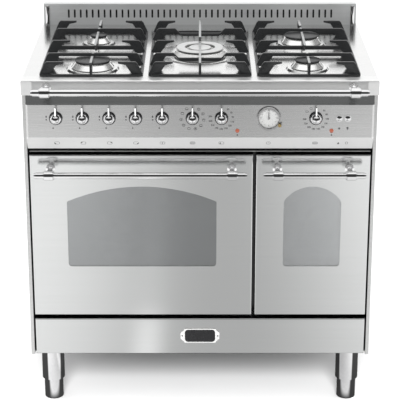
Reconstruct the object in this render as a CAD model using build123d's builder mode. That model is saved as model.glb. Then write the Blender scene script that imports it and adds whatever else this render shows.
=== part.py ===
from build123d import *
import os
from math import cos, hypot, radians, sin, sqrt

os.makedirs("parts", exist_ok=True)

# Free-standing 90 cm range cooker. Millimetres, +Z up, the doors face -Y.
# The origin is on the floor, under the middle of the cooker's box.

# Driving dimensions: the whole cooker
hob_width = 900.0
carcass_depth = 620.0
inlet_reach = 25.0
leg_height = 145.0

# Front heights, from the base tray upwards
drawer_base_gap = 2.0
drawer_front_height = 101.0
drawer_door_gap = 11.0
door_height = 443.0
vent_gap = 18.0
vent_lip_rise = 8.0
panel_lower_slope = 37.0
panel_face_height = 85.0
panel_upper_slope = 20.0
fascia_height = 38.0

# Sheet metal
hob_sheet = 2.0
sheet = 1.5
side_panel_thickness = 8.5
side_panel_flange = 15.0
frame_sheet = 3.0
base_sheet = 2.0

# Clearances
running_fit = 0.05
sliding_gap = 0.4
curved_gap = 0.4
side_gap = 4.0
door_split_gap = 8.0
seal_gap = 0.3

# Broken edges of small turned pieces
edge_break = 1.0

# Doors
right_door_width = 292.0
door_thickness = 36.0
door_seal_space = 8.0
door_edge_radius = 2.5
liner_sheet = 3.0
window_sill = 138.0
window_shoulder = 179.0
window_rise = 41.0
window_corner_radius = 10.0
left_window_margin = 93.0
right_window_margin = 72.0
pane_thickness = 4.0
pane_lap = 18.0

# Door hinges
hinge_setback = 14.0
hinge_rise = 18.0
hinge_inset = 34.0
hinge_arm_thickness = 8.0
hinge_arm_height = 13.0
hinge_eye_radius = 8.5
hinge_pin_radius = 4.0
hinge_slot_play = 1.5
hinge_cheek = 4.0
hinge_cheek_play = 0.5
hinge_bracket_height = 90.0

# Handles and towel rail
bar_radius = 8.0
collar_radius = 12.5
collar_length = 22.0
bar_end_length = 4.0
bar_end_step = 1.6
post_radius = 7.0
post_base_radius = 12.0
post_base_length = 6.0
handle_standoff = 57.0
handle_drop = 36.5
handle_inset = 17.0
handle_post_inset = 37.0
rail_radius = 8.5
rail_standoff = 50.0
rail_rise = 20.0
rail_inset = 30.5
rail_post_inset = 34.0

# Hob, burners and pan supports
hob_overhang = 8.0
hob_edge_radius = 4.0
hob_side_margin = 44.0
grate_gap = 14.0
front_left_burner_y = 107.0
rear_left_burner_y = 372.0
rear_right_burner_y = 372.0
front_right_burner_y = 107.0
centre_burner_y = 263.0
large_cap_radius = 46.0
medium_cap_radius = 33.0
small_cap_radius = 23.0
skirt_flare = 9.0
skirt_height = 18.0
cap_thickness = 3.5
cap_crown = 2.0
burner_cup_depth = 30.0
burner_cup_margin = 12.0
crown_step = 2.0
skirt_rim = 2.0
teeth_per_mm = 0.7
cap_edge_share = 0.7
cap_flat_share = 0.93
boss_margin = 9.0
boss_slope = 4.0
boss_height = 5.0
tooth_width = 3.0
tooth_depth = 5.0
ring_outer_radius = 63.5
ring_inner_radius = 39.0
ring_thickness = 4.0
ring_skirt_height = 21.0
ring_skirt_flare = 7.0
inner_cap_radius = 30.0
dish_radius = 115.0
dish_depth = 6.0
dish_floor_radius = 84.0
grate_depth = 472.0
grate_height = 37.0
grate_bar = 6.5
grate_corner_radius = 14.0
rib_thickness = 7.0
rib_depth = 8.0
rib_foot = 26.0
rib_haunch = 17.0
rib_shoulder = 5.0
rib_lean = 13.0
finger_length = 62.0
finger_tip = 4.0
finger_rib_inset = 11.0
cross_rib_inset = 101.0
low_rib_rise = 12.0
low_rib_depth = 10.0
spine_thickness = 6.0
spine_depth = 7.0
spine_length = 68.0
spine_front_reach = 54.0
spine_back_reach = 96.0
spine_post = 14.0
spine_gap = 36.0
dip_half_width = 55.0
dip_depth = 13.0

# Upstand
upstand_inset = 5.0
upstand_height = 60.0
upstand_depth = 24.0
upstand_slot_count = 45
upstand_slot_pitch = 17.0
upstand_slot_width = 5.0
upstand_slot_height = 24.0
upstand_slot_rise = 32.0

# Control panel
panel_reach = 26.0
panel_flange = 28.0
panel_end_bevel = 5.0
knob_drop = 34.5
lamp_drop = 67.0
gas_knob_inset = 75.5
gas_knob_count = 5
function_knob_gap = 76.0
function_knob_x = -19.0
left_thermostat_x = 54.0
left_lamp_x = 94.0
clock_x = 173.0
right_thermostat_inset = 146.5
right_lamp_inset = 106.5
ignition_button_inset = 87.5
lamp_button_inset = 66.5

# Knobs, taps and switches
knob_base_radius = 13.5
knob_base_thickness = 4.0
knob_radius = 10.0
knob_body_length = 7.0
knob_dome = 8.0
knob_lift = 5.5
knob_push = 4.0
pointer_reach = 31.0
pointer_width = 4.0
pointer_depth = 5.0
bezel_radius = 17.0
bezel_wall = 2.6
bezel_height = 6.0
spindle_radius = 4.0
spindle_hole_radius = 6.0
knob_socket_depth = 10.0
tap_width = 24.0
tap_height = 26.0
tap_length = 32.0
tap_setback = 4.0
tap_engagement = 16.0
gas_rail_radius = 8.0
gas_rail_bend = 40.0
gas_rail_side_inset = 24.0
inlet_radius = 10.5
inlet_collar_radius = 18.0
inlet_collar_length = 4.0
burner_pipe_radius = 4.0
burner_riser_radius = 6.0
burner_nozzle_radius = 8.0
burner_pipe_rise = 10.0
switch_width = 36.0
switch_length = 24.0
switch_setback = 3.0
lamp_radius = 5.25
lamp_stem_radius = 4.0
lamp_rim = 1.5
lamp_dome = 2.5
lamp_stem_length = 16.0
button_radius = 6.5
button_rim = 2.5
button_dome = 2.5
button_collar_radius = 9.0
button_collar_thickness = 2.5
button_stem_length = 8.0
button_ring_radius = 8.5
button_ring_height = 1.5

# Clock
clock_radius = 30.5
clock_rim_height = 6.0
clock_glass_radius = 26.0
clock_glass_thickness = 2.0
clock_glass_step = 3.2
clock_rebate = 1.0
clock_can_wall = 2.0
clock_can_depth = 16.0
dial_depth = 3.0
dial_thickness = 2.0
arbor_radius = 1.2
hand_hub_radius = 2.6
hand_thickness = 0.8
hour_hand_level = -1.6
minute_hand_level = 0.4
hour_hand_length = 13.0
minute_hand_length = 20.0
hand_width = 2.4
hand_tip_width = 1.0
setting_knob_angle = -30.0
setting_knob_offset = 31.0
setting_ear_radius = 7.0
setting_knob_radius = 4.3
setting_knob_length = 8.0
setting_stem_radius = 1.5
setting_stem_length = 14.0

# Ovens
oven_wall = 2.0
oven_floor_rise = 60.0
oven_height = 340.0
oven_depth = 430.0
left_oven_margin = 51.5
right_oven_margin = 41.0
seal_width = 10.0
seal_margin = 5.0
shelf_rail_depth = 8.0
shelf_rail_height = 6.0
shelf_rail_levels = (90.0, 165.0, 240.0)
shelf_rail_front = 20.0
shelf_rail_back = 70.0
rack_play = 2.0
rack_rod = 6.0
rack_wire_radius = 1.5
rack_wire_pitch = 30.0
element_radius = 3.5
element_drop = 26.0
element_margin = 70.0
element_bend = 26.0
fan_radius = 70.0
fan_blade_count = 10
fan_blade_depth = 22.0
fan_plate = 1.5
fan_vane_circle = 49.0
fan_vane_length = 35.0
fan_vane_twist = 25.0
fan_hub_radius = 12.0
fan_shaft_radius = 4.0
fan_wall_gap = 8.0
fan_front_gap = 8.0
motor_radius = 40.0
motor_length = 46.0
motor_bearing = 36.0
baffle_width = 300.0
baffle_height = 250.0
baffle_sheet = 1.5
baffle_post_radius = 5.0
baffle_post_inset = 22.0
baffle_hole_radius = 4.5
baffle_ring_step = 17.5
baffle_ring_count = 3
baffle_hole_count = 8

# Drawer
drawer_front_depth = 18.0
drawer_side_space = 59.5
drawer_box_depth = 470.0
drawer_box_height = 70.0
drawer_floor_gap = 4.0
drawer_lip = 18.0
runner_width = 14.0
runner_play = 2.0

# Legs
sleeve_radius = 30.0
sleeve_bottom = 58.0
sleeve_flange_radius = 36.0
sleeve_flange_thickness = 3.0
sleeve_cap = 25.0
foot_radius = 25.0
foot_chamfer = 2.0
leg_side_inset = 52.0
leg_front_inset = 50.0
leg_rear_inset = 60.0

# Terminal box on the rear panel
terminal_width = 110.0
terminal_height = 80.0
terminal_depth = 22.0
terminal_wall = 2.0
terminal_inset = 139.5
terminal_z = 640.0
gland_radius = 8.0
gland_wall = 2.0
gland_length = 14.0
rear_vent_count = 9
rear_vent_pitch = 40.0
rear_vent_width = 6.0
rear_vent_height = 40.0
rear_vent_row_pitch = 170.0

# Worked out from the sizes above: levels
base_top = leg_height + base_sheet
drawer_bottom = leg_height + drawer_base_gap
drawer_top = drawer_bottom + drawer_front_height
door_bottom = drawer_top + drawer_door_gap
door_top = door_bottom + door_height
panel_bottom = door_top + vent_gap
face_bottom = panel_bottom + panel_lower_slope
face_top = face_bottom + panel_face_height
panel_top = face_top + panel_upper_slope
hob_top_z = panel_top + fascia_height
hob_under = hob_top_z - hob_sheet
knob_z = face_top - knob_drop
lamp_z = face_top - lamp_drop
rail_z = panel_top + rail_rise
handle_z = door_top - handle_drop
hinge_z = door_bottom + hinge_rise
oven_bottom = door_bottom + oven_floor_rise
oven_top = oven_bottom + oven_height

# Depths: the box runs from the foremost collar to the end of the gas inlet
rail_front = hob_overhang + rail_standoff + collar_radius
handle_front = handle_standoff + collar_radius
front_reach = max(rail_front, handle_front)
total_depth = front_reach + carcass_depth + inlet_reach
front_y = front_reach - total_depth / 2
rear_y = front_y + carcass_depth
hob_front_y = front_y - hob_overhang
hob_rear_y = rear_y + hob_sheet
face_y = front_y - panel_reach
door_back_y = front_y + door_thickness
frame_y = door_back_y + door_seal_space
oven_y = frame_y + frame_sheet
oven_back_y = oven_y + oven_depth
hinge_y = front_y + hinge_setback
rail_y = hob_front_y - rail_standoff
handle_y = front_y - handle_standoff
base_front_y = front_y + drawer_front_depth + drawer_base_gap
rear_inside_y = rear_y - sheet

# Widths
carcass_half = hob_width / 2 - hob_sheet
inner_half = carcass_half - side_panel_thickness
skin_half = carcass_half - sheet
door_half = inner_half - side_gap
right_door = (door_half - right_door_width, door_half)
left_door = (-door_half, right_door[0] - door_split_gap)
left_door_width = left_door[1] - left_door[0]
left_oven_x = (left_door[0] + left_door[1]) / 2
right_oven_x = (right_door[0] + right_door[1]) / 2
panel_half = inner_half - side_gap / 2
grate_width = (hob_width - 2 * hob_side_margin - 2 * grate_gap) / 3
burner_x = grate_width + grate_gap
finger_rib_offset = grate_depth / 2 - finger_rib_inset
cross_rib_offset = grate_depth / 2 - cross_rib_inset
upstand_width = hob_width - 2 * upstand_inset
terminal_x = terminal_inset - inner_half
drawer_box_half = inner_half - drawer_side_space
rail_half = hob_width / 2 - rail_inset
rail_post_x = rail_half - rail_post_inset

gas_knob_first_x = gas_knob_inset - panel_half
gas_knob_pitch = (function_knob_x - function_knob_gap - gas_knob_first_x) / (gas_knob_count - 1)
gas_knob_x = [gas_knob_first_x + gas_knob_pitch * i for i in range(gas_knob_count)]
right_lamp_x = panel_half - right_lamp_inset
oven_knobs = {
    "function_knob": function_knob_x,
    "thermostat_knob_left": left_thermostat_x,
    "thermostat_knob_right": panel_half - right_thermostat_inset,
}
buttons = {
    "ignition_button": panel_half - ignition_button_inset,
    "lamp_button": panel_half - lamp_button_inset,
}
ovens = {
    "left": (
        left_oven_x, left_door_width - 2 * left_oven_margin,
        left_door, left_door_width - 2 * left_window_margin,
    ),
    "right": (
        right_oven_x, right_door_width - 2 * right_oven_margin,
        right_door, right_door_width - 2 * right_window_margin,
    ),
}


def block(low, high, mode=Mode.ADD):
    """A box between two opposite corners, in the part being built."""
    size = [top - bottom for bottom, top in zip(low, high)]
    middle = tuple((top + bottom) / 2 for bottom, top in zip(low, high))
    with Locations(middle):
        Box(*size, mode=mode)


def front_plane(x, y, z):
    """A plane that faces the cook: its X runs right, its Y up and its normal out of the front."""
    return Plane(origin=(x, y, z), x_dir=(1, 0, 0), z_dir=(0, -1, 0))


def outline(points):
    """A closed straight-sided face on the current sketch."""
    with BuildLine() as edge:
        Polyline(*points, close=True)
    make_face(edge.line)


def crowned_outline(points, rise):
    """Half of a turned section that starts on the axis and ends at a rim, under a crown of that rise."""
    radius, level = points[-1]
    sphere = (radius ** 2 + rise ** 2) / (2 * rise)
    half_way = (radius / 2, level + rise - sphere + sqrt(sphere ** 2 - radius ** 2 / 4))
    top = (0, level + rise)
    with BuildLine() as edge:
        Polyline(*points)
        ThreePointArc(points[-1], half_way, top)
        Line(top, points[0])
    make_face(edge.line)


def turn_front(points, x, y, z, crown=0, mode=Mode.ADD):
    """Turn (radius, reach) points about an axis that comes out of the front at x, z."""
    with BuildSketch(Plane(origin=(x, y, z), x_dir=(1, 0, 0), z_dir=(0, 0, -1))) as profile:
        if crown > 0:
            crowned_outline(points, crown)
        else:
            outline(points)
    revolve(profile.sketch, axis=Axis((x, y, z), (0, -1, 0)), mode=mode)


def turn_up(points, x, y, z, crown=0, mode=Mode.ADD):
    """Turn (radius, height) points about an upright axis at x, y."""
    with BuildSketch(Plane(origin=(x, y, z), x_dir=(1, 0, 0), z_dir=(0, -1, 0))) as profile:
        if crown > 0:
            crowned_outline(points, crown)
        else:
            outline(points)
    revolve(profile.sketch, axis=Axis((x, y, z), (0, 0, 1)), mode=mode)


def rod(start, end, radius, mode=Mode.ADD):
    """A round bar from one point to another."""
    run = [b - a for a, b in zip(start, end)]
    length = hypot(*run)
    with BuildSketch(Plane(origin=start, z_dir=run)) as section:
        Circle(radius)
    extrude(section.sketch, amount=length, mode=mode)


def save(built, name):
    """Label a finished piece and write it."""
    built.part.label = name
    export_step(built.part, f"parts/{name}.step")


# Side panels: folded sheet with a flange round the inner face
with BuildPart() as side_panels:
    for side in (-1, 1):
        x_out = side * carcass_half
        x_in = side * inner_half
        x_skin = side * skin_half
        block((min(x_in, x_out), front_y, leg_height), (max(x_in, x_out), rear_y, hob_under))
        block(
            (min(x_in, x_skin), front_y + side_panel_flange, leg_height + side_panel_flange),
            (max(x_in, x_skin), rear_y - side_panel_flange, hob_under - side_panel_flange),
            mode=Mode.SUBTRACT,
        )
save(side_panels, "side_panels")

# Rear panel with two rows of vents, the hole for the gas inlet and the hole behind the terminal box
inlet_x = inner_half - gas_rail_side_inset
with BuildPart() as rear_panel:
    block((-inner_half, rear_inside_y, leg_height), (inner_half, rear_y, hob_under))
    with BuildSketch(front_plane(0, rear_y, (oven_bottom + oven_top) / 2)) as rear_vents:
        with GridLocations(rear_vent_pitch, rear_vent_row_pitch, rear_vent_count, 2):
            SlotOverall(rear_vent_height, rear_vent_width, rotation=90)
    extrude(rear_vents.sketch, amount=sheet, mode=Mode.SUBTRACT)
    with BuildSketch(front_plane(0, rear_y, 0)) as rear_holes:
        with Locations((inlet_x, knob_z)):
            Circle(inlet_radius + running_fit + sliding_gap)
        with Locations((terminal_x, terminal_z + terminal_height / 4)):
            Circle(gland_radius)
    extrude(rear_holes.sketch, amount=sheet, mode=Mode.SUBTRACT)
save(rear_panel, "rear_panel")

# Base tray, with the two runners that carry the drawer by its lips
runner_in = drawer_box_half + runner_play
drawer_floor = base_top + drawer_floor_gap
runner_top = drawer_floor + drawer_box_height
with BuildPart() as base_tray:
    block((-inner_half, base_front_y, leg_height), (inner_half, rear_inside_y, base_top))
    for side in (-1, 1):
        x_near = side * runner_in
        x_far = side * (runner_in + runner_width)
        block(
            (min(x_near, x_far), base_front_y, base_top),
            (max(x_near, x_far), rear_inside_y, runner_top),
        )
        block(
            (min(x_near, x_far) + sheet, base_front_y, base_top),
            (max(x_near, x_far) - sheet, rear_inside_y, runner_top - sheet),
            mode=Mode.SUBTRACT,
        )
save(base_tray, "base_tray")

# Front frame between the skins of the side panels, with the two oven mouths and the lip of the vent gap;
# the hinge arms are riveted on
hinge_arm_x = [x for door in (left_door, right_door) for x in (door[0] + hinge_inset, door[1] - hinge_inset)]
frame_bottom = drawer_top + drawer_base_gap
vent_lip_z = door_top + vent_lip_rise
with BuildPart() as front_frame:
    block((-skin_half, frame_y, frame_bottom), (skin_half, oven_y, panel_bottom))
    for oven_x, oven_width, _, _ in ovens.values():
        block(
            (oven_x - oven_width / 2, frame_y, oven_bottom),
            (oven_x + oven_width / 2, oven_y, oven_top),
            mode=Mode.SUBTRACT,
        )
    block((-door_half, hinge_y, vent_lip_z), (door_half, frame_y, vent_lip_z + sheet))
    for arm_x in hinge_arm_x:
        arm_plane = Plane(origin=(arm_x, hinge_y, hinge_z), x_dir=(0, 1, 0), z_dir=(1, 0, 0))
        with BuildSketch(arm_plane) as hinge_arm:
            Circle(hinge_eye_radius)
            with Locations(((frame_y - hinge_y) / 2, 0)):
                Rectangle(frame_y - hinge_y, hinge_arm_height)
            Circle(hinge_pin_radius + running_fit, mode=Mode.SUBTRACT)
        extrude(hinge_arm.sketch, amount=hinge_arm_thickness / 2, both=True)
save(front_frame, "front_frame")

# Hob top: a pressed tray, open below, with a dish under the ring burner and a boss under each other one
burners = {
    "front_left": (-burner_x, front_y + front_left_burner_y, large_cap_radius),
    "rear_left": (-burner_x, front_y + rear_left_burner_y, small_cap_radius),
    "rear_right": (burner_x, front_y + rear_right_burner_y, large_cap_radius),
    "front_right": (burner_x, front_y + front_right_burner_y, medium_cap_radius),
}
ring_burner_y = front_y + centre_burner_y
ring_cup_radius = ring_inner_radius - burner_cup_margin
with BuildPart() as hob_top:
    block((-hob_width / 2, hob_front_y, panel_top), (hob_width / 2, hob_rear_y, hob_top_z))
    fillet(hob_top.faces().sort_by(Axis.Z)[-1].edges(), hob_edge_radius)
    block(
        (-carcass_half, hob_front_y + hob_sheet, panel_top),
        (carcass_half, rear_y, hob_under),
        mode=Mode.SUBTRACT,
    )
    turn_up(
        [(0, 0), (dish_radius + hob_sheet, 0), (dish_floor_radius + hob_sheet, -dish_depth - hob_sheet),
         (0, -dish_depth - hob_sheet)],
        0, ring_burner_y, hob_top_z,
    )
    turn_up(
        [(0, 0), (dish_radius, 0), (dish_floor_radius, -dish_depth), (0, -dish_depth)],
        0, ring_burner_y, hob_top_z, mode=Mode.SUBTRACT,
    )
    turn_up(
        [(0, 0), (ring_cup_radius + sliding_gap, 0),
         (ring_cup_radius + sliding_gap, -dish_depth - hob_sheet), (0, -dish_depth - hob_sheet)],
        0, ring_burner_y, hob_top_z, mode=Mode.SUBTRACT,
    )
    for x, y, cap_radius in burners.values():
        cup_hole = cap_radius - burner_cup_margin + sliding_gap
        boss = cap_radius + skirt_flare + boss_margin
        boss_foot = boss + boss_slope
        boss_under = boss_height - hob_sheet
        turn_up([(0, 0), (boss_foot, 0), (boss, boss_height), (0, boss_height)], x, y, hob_top_z)
        turn_up([(0, -hob_sheet), (boss_foot - hob_sheet, -hob_sheet), (boss - hob_sheet, boss_under),
                 (0, boss_under)], x, y, hob_top_z, mode=Mode.SUBTRACT)
        turn_up([(0, boss_under), (cup_hole, boss_under), (cup_hole, boss_height), (0, boss_height)],
                x, y, hob_top_z, mode=Mode.SUBTRACT)
save(hob_top, "hob_top")

# Upstand: a folded channel behind the hob with a row of vent slots and a screw at each end
upstand_front_y = hob_rear_y - upstand_depth
upstand_top = hob_top_z + upstand_height
with BuildPart() as upstand:
    block((-upstand_width / 2, upstand_front_y, hob_top_z), (upstand_width / 2, hob_rear_y, upstand_top))
    block(
        (-upstand_width / 2 + sheet, upstand_front_y + sheet, hob_top_z),
        (upstand_width / 2 - sheet, hob_rear_y - sheet, upstand_top - sheet),
        mode=Mode.SUBTRACT,
    )
    with BuildSketch(front_plane(0, upstand_front_y, hob_top_z + upstand_slot_rise)) as vent_slots:
        with GridLocations(upstand_slot_pitch, 0, upstand_slot_count, 1):
            SlotOverall(upstand_slot_height, upstand_slot_width, rotation=90)
    extrude(vent_slots.sketch, amount=-sheet, mode=Mode.SUBTRACT)
save(upstand, "upstand")

# Control panel: a bent sheet, open behind, with its ends bevelled and holes for all that it carries
setting_x = clock_x + setting_knob_offset * cos(radians(setting_knob_angle))
setting_z = knob_z + setting_knob_offset * sin(radians(setting_knob_angle))
clock_can_radius = clock_glass_radius + clock_can_wall
panel_back_y = hob_front_y + panel_flange
with BuildPart() as control_panel:
    with BuildSketch(Plane(origin=(-panel_half, 0, 0), x_dir=(0, 1, 0), z_dir=(1, 0, 0))) as panel_section:
        outline([
            (panel_back_y, panel_top), (hob_front_y, panel_top), (face_y, face_top),
            (face_y, face_bottom), (front_y, panel_bottom), (panel_back_y, panel_bottom),
        ])
    extrude(panel_section.sketch, amount=2 * panel_half)
    end_edges = control_panel.edges().filter_by(Axis.Z).sort_by(Axis.Y)[:2]
    chamfer(end_edges, panel_end_bevel)
    open_back = control_panel.faces().sort_by(Axis.Y)[-1]
    offset(amount=-sheet, openings=open_back, kind=Kind.INTERSECTION)
    with BuildSketch(front_plane(0, face_y, knob_z)) as panel_holes:
        with Locations(*[(x, 0) for x in [*gas_knob_x, *oven_knobs.values()]]):
            Circle(spindle_hole_radius)
        with Locations((clock_x, 0)):
            Circle(clock_can_radius + sliding_gap)
        with Locations((setting_x, setting_z - knob_z)):
            Circle(setting_stem_radius + sliding_gap)
        with Locations((left_lamp_x, lamp_z - knob_z), (right_lamp_x, lamp_z - knob_z)):
            Circle(lamp_stem_radius + running_fit)
        with Locations(*[(x, 0) for x in buttons.values()]):
            Circle(button_radius + curved_gap)
    extrude(panel_holes.sketch, amount=-sheet, mode=Mode.SUBTRACT)
save(control_panel, "control_panel")


def bar_on_posts(x_low, x_high, post_xs, y, z, radius, seat_y):
    """A round bar with turned ends, pushed through collars on posts that stand on the face at seat_y."""
    for post_x in post_xs:
        standoff = seat_y - y
        turn_front(
            [(0, 0), (post_base_radius, 0), (post_base_radius, post_base_length / 2),
             (post_radius, post_base_length), (post_radius, standoff), (0, standoff)],
            post_x, seat_y, z,
        )
        rod((post_x - collar_length / 2, y, z), (post_x + collar_length / 2, y, z), collar_radius)
        rod((post_x - collar_length, y, z), (post_x + collar_length, y, z), radius + running_fit,
            mode=Mode.SUBTRACT)
    end_radius = radius - bar_end_step
    rod((x_low + bar_end_length, y, z), (x_high - bar_end_length, y, z), radius)
    rod((x_low, y, z), (x_high, y, z), end_radius)


# Towel rail in front of the hob's fascia
with BuildPart() as towel_rail:
    bar_on_posts(-rail_half, rail_half, (-rail_post_x, rail_post_x), rail_y, rail_z, rail_radius, hob_front_y)
save(towel_rail, "towel_rail")

# Gas rail with its inlet, the five taps and the pipes from taps to burners
tap_y = face_y + sheet + tap_setback
rail_pipe_y = tap_y + tap_length
pipe_z = knob_z + tap_height / 2
burner_order = ["rear_left", "front_left", "centre", "rear_right", "front_right"]
cup_spots = {name: (x, y) for name, (x, y, _) in burners.items()}
cup_spots["centre"] = (0, ring_burner_y)
tap_bore = spindle_radius + running_fit
cup_bottom = hob_under - burner_cup_depth
elbow_z = pipe_z + burner_pipe_rise
with BuildPart() as gas_rail:
    with BuildLine() as rail_path:
        FilletPolyline(
            (-panel_half + sheet, rail_pipe_y, knob_z),
            (inlet_x, rail_pipe_y, knob_z),
            (inlet_x, rear_inside_y, knob_z),
            radius=gas_rail_bend,
        )
    with BuildSketch(Plane(origin=rail_path.line @ 0, z_dir=rail_path.line % 0)) as rail_bore:
        Circle(gas_rail_radius)
    sweep(rail_bore.sketch, path=rail_path.line)
    rod((inlet_x, rear_inside_y - gas_rail_bend, knob_z), (inlet_x, rear_y + inlet_reach, knob_z),
        inlet_radius)
    rod((inlet_x, rear_y, knob_z), (inlet_x, rear_y + inlet_collar_length, knob_z), inlet_collar_radius)
    for x in gas_knob_x:
        block((x - tap_width / 2, tap_y, knob_z - tap_height / 2), (x + tap_width / 2, rail_pipe_y, pipe_z))
        rod((x, tap_y, knob_z), (x, tap_y + tap_engagement + knob_push + curved_gap, knob_z), tap_bore,
            mode=Mode.SUBTRACT)
    for x, burner in zip(gas_knob_x, burner_order):
        cup_x, cup_y = cup_spots[burner]
        riser_y = tap_y + tap_length / 2
        rod((x, riser_y, pipe_z - burner_riser_radius / 2), (x, riser_y, elbow_z + burner_riser_radius),
            burner_riser_radius)
        rod((x, riser_y, elbow_z), (cup_x, cup_y, elbow_z), burner_pipe_radius)
        rod((cup_x, cup_y, elbow_z - burner_riser_radius), (cup_x, cup_y, cup_bottom), burner_nozzle_radius)
save(gas_rail, "gas_rail")

# Bezels: a ring round each knob and a flat ring round each button
with BuildPart() as knob_bezels:
    bezel_bore = bezel_radius - bezel_wall
    for x in [*gas_knob_x, *oven_knobs.values()]:
        turn_front(
            [(bezel_bore, 0), (bezel_radius, 0), (bezel_radius, bezel_height / 2),
             (bezel_radius - bezel_wall / 2, bezel_height), (bezel_bore, bezel_height)],
            x, face_y, knob_z,
        )
    for x in buttons.values():
        ring_bore = button_radius + curved_gap
        turn_front(
            [(ring_bore, 0), (button_ring_radius, 0), (button_ring_radius, button_ring_height),
             (ring_bore, button_ring_height)],
            x, face_y, knob_z,
        )
save(knob_bezels, "knob_bezels")

# Oven switches: one behind each oven knob, with a bore for the knob's shaft
switch_y = face_y + sheet
with BuildPart() as oven_controls:
    for x in oven_knobs.values():
        half = switch_width / 2
        block((x - half, switch_y, knob_z - half), (x + half, switch_y + switch_length, knob_z + half))
        rod((x, switch_y, knob_z), (x, switch_y + switch_length - switch_setback, knob_z), tap_bore,
            mode=Mode.SUBTRACT)
save(oven_controls, "oven_controls")

# Clock case: a can through the panel with a stepped rim, a dial, an arbor and the ear of the setting knob
dial_back = -dial_depth - dial_thickness
arbor_end = minute_hand_level + hand_thickness + curved_gap
ear_bore = setting_stem_radius + running_fit
step_radius = clock_glass_radius - clock_rebate
with BuildPart() as clock_case:
    turn_front(
        [(0, -clock_can_depth), (clock_can_radius, -clock_can_depth), (clock_can_radius, 0),
         (clock_radius, 0), (clock_radius, clock_rim_height - clock_rebate),
         (clock_radius - clock_rebate, clock_rim_height), (0, clock_rim_height)],
        clock_x, face_y, knob_z,
    )
    turn_front(
        [(0, 0), (setting_ear_radius, 0), (setting_ear_radius, clock_rim_height), (0, clock_rim_height)],
        setting_x, face_y, setting_z,
    )
    turn_front(
        [(0, -dial_depth), (step_radius, -dial_depth), (step_radius, clock_glass_step),
         (clock_glass_radius, clock_glass_step), (clock_glass_radius, clock_rim_height),
         (0, clock_rim_height)],
        clock_x, face_y, knob_z, mode=Mode.SUBTRACT,
    )
    turn_front(
        [(0, -clock_can_depth), (step_radius, -clock_can_depth), (step_radius, dial_back), (0, dial_back)],
        clock_x, face_y, knob_z, mode=Mode.SUBTRACT,
    )
    turn_front([(0, -dial_depth), (arbor_radius, -dial_depth), (arbor_radius, arbor_end), (0, arbor_end)],
               clock_x, face_y, knob_z)
    turn_front([(0, 0), (ear_bore, 0), (ear_bore, clock_rim_height), (0, clock_rim_height)],
               setting_x, face_y, setting_z, mode=Mode.SUBTRACT)
save(clock_case, "clock_case")

# Clock glass, seated on the step in the rim
with BuildPart() as clock_glass:
    pane_radius = clock_glass_radius - running_fit
    pane_front = clock_glass_step + clock_glass_thickness
    turn_front(
        [(0, clock_glass_step), (pane_radius, clock_glass_step), (pane_radius, pane_front), (0, pane_front)],
        clock_x, face_y, knob_z,
    )
save(clock_glass, "clock_glass")


def clock_hand(name, level, length):
    """A flat hand on a hub that turns on the clock's arbor."""
    with BuildPart() as hand:
        with BuildSketch(front_plane(clock_x, face_y - level, knob_z)) as shape:
            Circle(hand_hub_radius)
            outline([(-hand_width / 2, 0), (hand_width / 2, 0), (hand_tip_width / 2, length),
                     (-hand_tip_width / 2, length)])
            Circle(arbor_radius + running_fit, mode=Mode.SUBTRACT)
        extrude(shape.sketch, amount=hand_thickness)
    save(hand, name)


clock_hand("hour_hand", hour_hand_level, hour_hand_length)
clock_hand("minute_hand", minute_hand_level, minute_hand_length)

# Setting knob of the clock: a knurled head on a thin stem
with BuildPart() as clock_knob:
    head_back = clock_rim_height + curved_gap
    head_front = head_back + setting_knob_length
    turn_front(
        [(0, head_back - setting_stem_length), (setting_stem_radius, head_back - setting_stem_length),
         (setting_stem_radius, head_back), (setting_knob_radius, head_back),
         (setting_knob_radius, head_front - edge_break), (setting_knob_radius - edge_break, head_front),
         (0, head_front)],
        setting_x, face_y, setting_z,
    )
save(clock_knob, "clock_knob")

# Pilot lamps: a lens on a stem pushed through the panel
with BuildPart() as pilot_lamps:
    for x in (left_lamp_x, right_lamp_x):
        turn_front(
            [(0, -lamp_stem_length), (lamp_stem_radius, -lamp_stem_length), (lamp_stem_radius, 0),
             (lamp_radius, 0), (lamp_radius, lamp_rim)],
            x, face_y, lamp_z, crown=lamp_dome,
        )
save(pilot_lamps, "pilot_lamps")

# Push buttons: a round cap with a collar behind the panel
for name, x in buttons.items():
    with BuildPart() as button:
        collar_back = -sheet - button_collar_thickness
        turn_front(
            [(0, collar_back - button_stem_length), (button_radius / 2, collar_back - button_stem_length),
             (button_radius / 2, collar_back), (button_collar_radius, collar_back),
             (button_collar_radius, -sheet), (button_radius, -sheet), (button_radius, button_rim)],
            x, face_y, knob_z, crown=button_dome,
        )
    save(button, name)


def knob_shape(x):
    """A knob head: base disc, domed body and a pointer that reaches past the bezel."""
    base_front = knob_lift + knob_base_thickness
    body_front = base_front + knob_body_length
    turn_front(
        [(0, knob_lift), (knob_base_radius, knob_lift), (knob_base_radius, base_front - edge_break),
         (knob_base_radius - edge_break, base_front), (knob_radius, base_front), (knob_radius, body_front)],
        x, face_y, knob_z, crown=knob_dome,
    )
    pointer_y = face_y - body_front
    block(
        (x - pointer_width / 2, pointer_y, knob_z),
        (x + pointer_width / 2, pointer_y + pointer_depth, knob_z + pointer_reach),
    )


# Gas knobs turn on the tap spindles, and the spindles slide when a knob is pushed in
socket_end = knob_lift + knob_socket_depth
for number, x in enumerate(gas_knob_x, start=1):
    with BuildPart() as gas_knob:
        knob_shape(x)
        turn_front([(0, knob_lift), (tap_bore, knob_lift), (tap_bore, socket_end), (0, socket_end)],
                   x, face_y, knob_z, mode=Mode.SUBTRACT)
    save(gas_knob, f"gas_knob_{number}")
    with BuildPart() as tap_spindle:
        rod((x, face_y - socket_end, knob_z), (x, tap_y + tap_engagement, knob_z), spindle_radius)
    save(tap_spindle, f"tap_spindle_{number}")

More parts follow.
